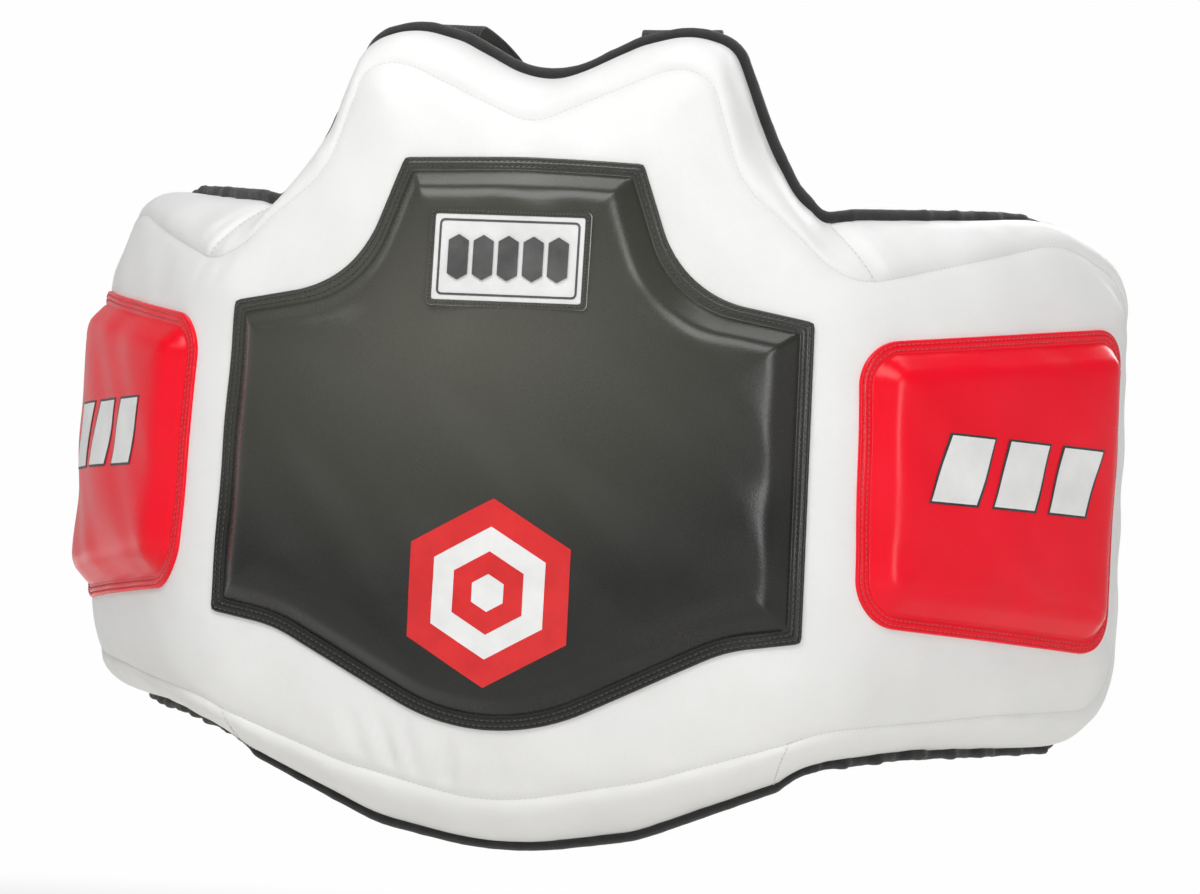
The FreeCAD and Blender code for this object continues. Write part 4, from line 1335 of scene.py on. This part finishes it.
def build_yoke_and_back_straps():
    """Two leather plates round the crossing straps, back elastics and back straps."""
    outer = back_plane(STRAP_Y + SEWN_GAP, YOKE_HEIGHT)
    inner = Plane((0, STRAP_Y - SEWN_GAP, YOKE_HEIGHT), (1, 0, 0), (0, 0, 1))
    corners = rectangle(*YOKE_SIZE, 26)
    for layer, plane in (("outer", outer), ("inner", inner)):
        sewn_plate(f"yoke_{layer}_leather", f"yoke_{layer}_plate", corners, plane, 0.0020)
    box = seam_box("yoke_cross_stitching", outer, 0.047, -0.037, 0.005, 0.0030)
    attach(box, "chest", "yoke_leather")
    for side in ("left", "right"):
        elastic(f"{side}_back_elastic_band", side, float(CORNER[0]) - ELASTIC_END, [],
                BACK_STRAP_HEIGHT, side + "_back_elastic")
    start = ELASTIC_END + BACK_STRAP_LAP
    strap = upright_ribbon("left_back_strap_webbing", (start, STRAP_Y), 180,
                           [(start - BACK_STRAP_STOP, 0)], BACK_STRAP_HEIGHT, WEBBING)
    strap_pair(strap, "back_strap_webbing", "back_strap")
    for side, sign in (("left", 1), ("right", -1)):
        place = back_plane(STRAP_Y + WEB_THICKNESS / 2, BACK_STRAP_HEIGHT,
                           sign * (ELASTIC_END + BACK_STRAP_LAP / 2))
        sewn = seam_box(side + "_back_strap_stitching", place, 0.0075, -SEAM_HALF, SEAM_HALF,
                        THREAD_LIFT)
        attach(sewn, "chest", "black_webbing")


def build_anchor_patches():
    """Leather patches that hold the shoulder straps behind the ears."""
    for side, sign in (("left", 1), ("right", -1)):
        low, high = (corner.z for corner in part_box(side + "_strap_anchor_patch"))
        plane = back_plane(STRAP_START[0] + SEWN_GAP, (low + high) / 2,
                           sign * (STRAP_STATION - STRAP_LEAN * STRAP_START[0]))
        sewn_plate(side + "_anchor_leather", side + "_strap_anchor_patch",
                   rectangle(0.062, high - low, 4), plane, 0.0016, 0.0035, 0.0040, 0.0003)
        cross = seam_box(side + "_anchor_cross_stitching", plane, 0.022, -0.014, 0.014, 0.0020)
        attach(cross, "chest", "yoke_leather")


def build_waist_belt():
    """Waist elastics, and the belt that folds back on itself through the ring."""
    elastic("left_waist_elastic_band", "left", float(CORNER[0]) - RING_STATION,
            [(RING_SLACK, -180), (0.024, 0)], BELT_HEIGHT, "left_waist_elastic")
    elastic("right_waist_elastic_band", "right", float(CORNER[0]) - ELASTIC_END, [], BELT_HEIGHT,
            "right_waist_elastic")
    ring_low, ring_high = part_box("waist_ring")
    belt_loop = RING_SLACK + LAP
    front = (ring_low.y + ring_high.y) / 2 - belt_loop
    bar = ring_low.x + 0.002
    closing, settle, layers, tail = 25.0, 0.030, 0.005, 0.118
    rise = belt_loop * (1 + math.cos(math.radians(closing)))
    rise -= settle * (1 - math.cos(math.radians(closing)))
    slope = (rise - layers) / math.sin(math.radians(closing))
    route = [(BELT_START + bar, 0), (belt_loop, 180 + closing), (slope, 0), (settle, -closing),
             (tail, 0)]
    belt = upright_ribbon("waist_belt_webbing", (-BELT_START, front), 0, route, BELT_HEIGHT, WEBBING)
    attach(belt, "chest", "black_webbing", "waist_belt")
    for name, level, station, half, cross in (
            ("belt_tail_stitching", front + layers, bar - 2 * settle - 0.100, 0.004, False),
            ("belt_elastic_stitching", BELT_Y, -0.215, 0.0075, True),
            ("ring_elastic_stitching", BELT_Y + 2 * RING_SLACK, RING_STATION + 0.015, 0.006, True)):
        place = back_plane(level + WEB_THICKNESS / 2, BELT_HEIGHT, station)
        attach(seam_box(name, place, half, -SEAM_HALF, SEAM_HALF, THREAD_LIFT, cross),
               "chest", "black_webbing")


CARRIED = {
    "badge_plate": BADGE_WHITE, "badge_studs": BADGE_GREY, "waist_ring": STEEL,
    "left_strap_slider": BLACK_PLASTIC, "right_strap_slider": BLACK_PLASTIC,
    "belt_hook_pad": HOOK_LOOP, "belt_loop_pad": HOOK_LOOP,
}
BEVELS = {"badge_plate": 0.0006, "badge_studs": 0.0006,
          "left_strap_slider": 0.0007, "right_strap_slider": 0.0007}


def carry_nodes():
    """Hard CAD nodes keep their shape and get their finish, with a small bevel on the mouldings."""
    for node, material in CARRIED.items():
        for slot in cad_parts[node].material_slots:
            slot.material = material
    for node, width in BEVELS.items():
        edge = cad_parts[node].modifiers.new("edge", "BEVEL")
        edge.width = width
        edge.segments = 3
        edge.limit_method = "ANGLE"
        edge.angle_limit = math.radians(40)


def frame_strip(name, plane, corners, width, thickness, material):
    """A thin raised line just inside an outline."""
    steps = span_steps(corners, BADGE_SPACING)
    patch = Patch()
    patch.loops([(outline(corners, gap, steps), np.full(sum(steps), level)) for gap, level in
                 ((0.0, 0.0), (0.0, thickness), (width, thickness), (width, 0.0))])
    made = new_object(name, *patch.placed(plane), material, smooth=False)
    return face_outward(made, Vector(plane.out.tolist()))


BADGE_SPACING = 0.0015
BADGE_CORNER = 3.0
BADGE_FRAME_INSET = 0.0062


def build_badge_trim():
    """Border, printed frame line and overlock stitches of the badge."""
    low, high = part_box("badge_plate")
    plane = Plane(((low.x + high.x) / 2, low.y, (low.z + high.z) / 2), (1, 0, 0), (0, 0, 1))
    wide, tall = high.x - low.x, high.z - low.z
    corners = rectangle(wide, tall, BADGE_CORNER)
    within = rectangle(wide - 2 * BADGE_FRAME_INSET, tall - 2 * BADGE_FRAME_INSET, BADGE_CORNER)
    attach(frame_strip("badge_border", plane, corners, 0.0034, 0.0004, BLACK_LEATHER),
           "chest", "black_leather")
    attach(frame_strip("badge_frame_line", plane, within, 0.0013, 0.0003, BADGE_GREY),
           "chest", "badge_grey")
    line = outline(corners, 0.0017, span_steps(corners, BADGE_SPACING))
    thread = stitch_row("badge_stitching", plane, line, lambda flat: 0.0005, 0.0022, 0.00055,
                        BLACK_THREAD)
    attach(thread, "chest", "black_leather")


# ---------------------------------------------------------------- floor, light, camera

WHITE = (1.0, 1.0, 1.0, 1.0)
BACKDROP = 0.99                     # brightness of the far floor and of what the camera sees behind
FLOOR_HEIGHT = -0.42
FLOOR_RADIUS = 9.0
FLOOR_FADE = (0.9, 3.4)             # distance where the paper starts and ends turning into backdrop
SKY_BAND = (0.10, 0.50)             # height of the view direction where the surroundings dim
SKY_LIGHT = (0.52, 0.26)
LIGHTS = (                          # name, place, aim, size in metres, power in watts
    ("front_softbox", (-0.20, -1.20, 1.28), (0, 0, 0.04), (1.5, 0.8), 17.2),
    ("fill_softbox", (1.5, -2.4, 0.55), (0.1, 0, 0.02), (0.7, 1.5), 17.5),
    ("top_softbox", (0.0, 0.30, 1.7), (0, 0.1, 0), (1.6, 0.6), 8.0),
    ("back_softbox", (0.4, 2.2, 1.2), (0, 0, 0), (1.6, 1.0), 24.0),
)
CAMERA_TURN, CAMERA_LIFT, CAMERA_ROLL = (math.radians(angle) for angle in (15.0, -3.0, 3.5))
CAMERA_DISTANCE = 2.8
CAMERA_SHIFT = (0.056, 0.003)       # to its right and down
CAMERA_AIM = (0, -0.056, 0)
LENS, SENSOR = 141.4, 36.0


def floor_paper():
    """Pale paper that turns into plain backdrop far from the object, so no horizon shows."""
    paper = Nodes("floor_paper")
    made = paper.finish((0.92, 0.915, 0.88), 0.9)
    spot = paper.add("ShaderNodeNewGeometry").outputs["Position"]
    fade = paper.span(paper.vector("LENGTH", spot).outputs["Value"], *FLOOR_FADE, curve="SMOOTHSTEP")
    haze = paper.add("ShaderNodeEmission", Color=WHITE, Strength=BACKDROP)
    mixed = paper.add("ShaderNodeMixShader")
    parts = (fade, paper.shader.outputs["BSDF"], haze.outputs["Emission"])
    for source, socket in zip(parts, mixed.inputs):
        paper.link(source, socket)
    paper.link(mixed.outputs["Shader"], paper.tree.nodes["Material Output"].inputs["Surface"])
    return made


def build_floor():
    """A wide disc of paper under the object."""
    disc = bmesh.new()
    bmesh.ops.create_circle(disc, cap_ends=True, segments=96, radius=FLOOR_RADIUS)
    mesh = bpy.data.meshes.new("floor")
    disc.to_mesh(mesh)
    disc.free()
    mesh.materials.append(floor_paper())
    floor = bpy.data.objects.new("floor", mesh)
    floor.location.z = FLOOR_HEIGHT
    bpy.context.scene.collection.objects.link(floor)


def build_world():
    """Surroundings that dim with height, and a plain backdrop for the camera alone."""
    world = bpy.data.worlds.new("studio")
    bpy.context.scene.world = world
    world.use_nodes = True
    nodes = Tree(world.node_tree, "Generated")
    sky = world.node_tree.nodes["Background"]
    sky.inputs["Color"].default_value = WHITE
    split = nodes.add("ShaderNodeSeparateXYZ")
    nodes.link(nodes.coords, split.inputs[0])
    backdrop = nodes.add("ShaderNodeMix", data_type="FLOAT", B=BACKDROP)
    nodes.link(nodes.add("ShaderNodeLightPath").outputs["Is Camera Ray"], backdrop.inputs["Factor"])
    band = nodes.span(split.outputs["Z"], *SKY_BAND, *SKY_LIGHT, "SMOOTHSTEP")
    nodes.link(band, backdrop.inputs["A"])
    nodes.link(backdrop.outputs["Result"], sky.inputs["Strength"])
    bpy.context.scene.view_settings.view_transform = "Standard"


def build_lights():
    """Four soft boxes."""
    for name, place, aim, size, power in LIGHTS:
        light = bpy.data.lights.new(name, "AREA")
        light.shape = "RECTANGLE"
        light.size, light.size_y = size
        light.energy = power
        lamp = bpy.data.objects.new(name, light)
        lamp.location = place
        lamp.rotation_euler = (Vector(aim) - Vector(place)).to_track_quat("-Z", "Y").to_euler()
        bpy.context.scene.collection.objects.link(lamp)


def build_camera():
    """The photograph's camera, turned and rolled about the front of the shell."""
    right = Vector((math.cos(CAMERA_TURN), math.sin(CAMERA_TURN), 0))
    flat = math.cos(CAMERA_LIFT)
    back = Vector((math.sin(CAMERA_TURN) * flat, -math.cos(CAMERA_TURN) * flat, math.sin(CAMERA_LIFT)))
    up = back.cross(right)
    rolled_right = right * math.cos(CAMERA_ROLL) + up * math.sin(CAMERA_ROLL)
    rolled_up = up * math.cos(CAMERA_ROLL) - right * math.sin(CAMERA_ROLL)
    lens = bpy.data.cameras.new("camera")
    lens.sensor_width = SENSOR
    lens.lens = LENS
    camera = bpy.data.objects.new("camera", lens)
    place = back * CAMERA_DISTANCE + right * CAMERA_SHIFT[0] - up * CAMERA_SHIFT[1] + Vector(CAMERA_AIM)
    rotation = Matrix((rolled_right, rolled_up, back)).transposed()
    camera.matrix_world = Matrix.Translation(place) @ rotation.to_4x4()
    bpy.context.scene.collection.objects.link(camera)
    bpy.context.scene.camera = camera


build_camera()
build_floor()
build_world()
build_lights()
build_skins()
build_pads()
build_seam_stitches()
build_join_stitches()
build_marks()
build_shoulder_straps()
build_anchor_patches()
build_yoke_and_back_straps()
build_waist_belt()
build_badge_trim()
carry_nodes()
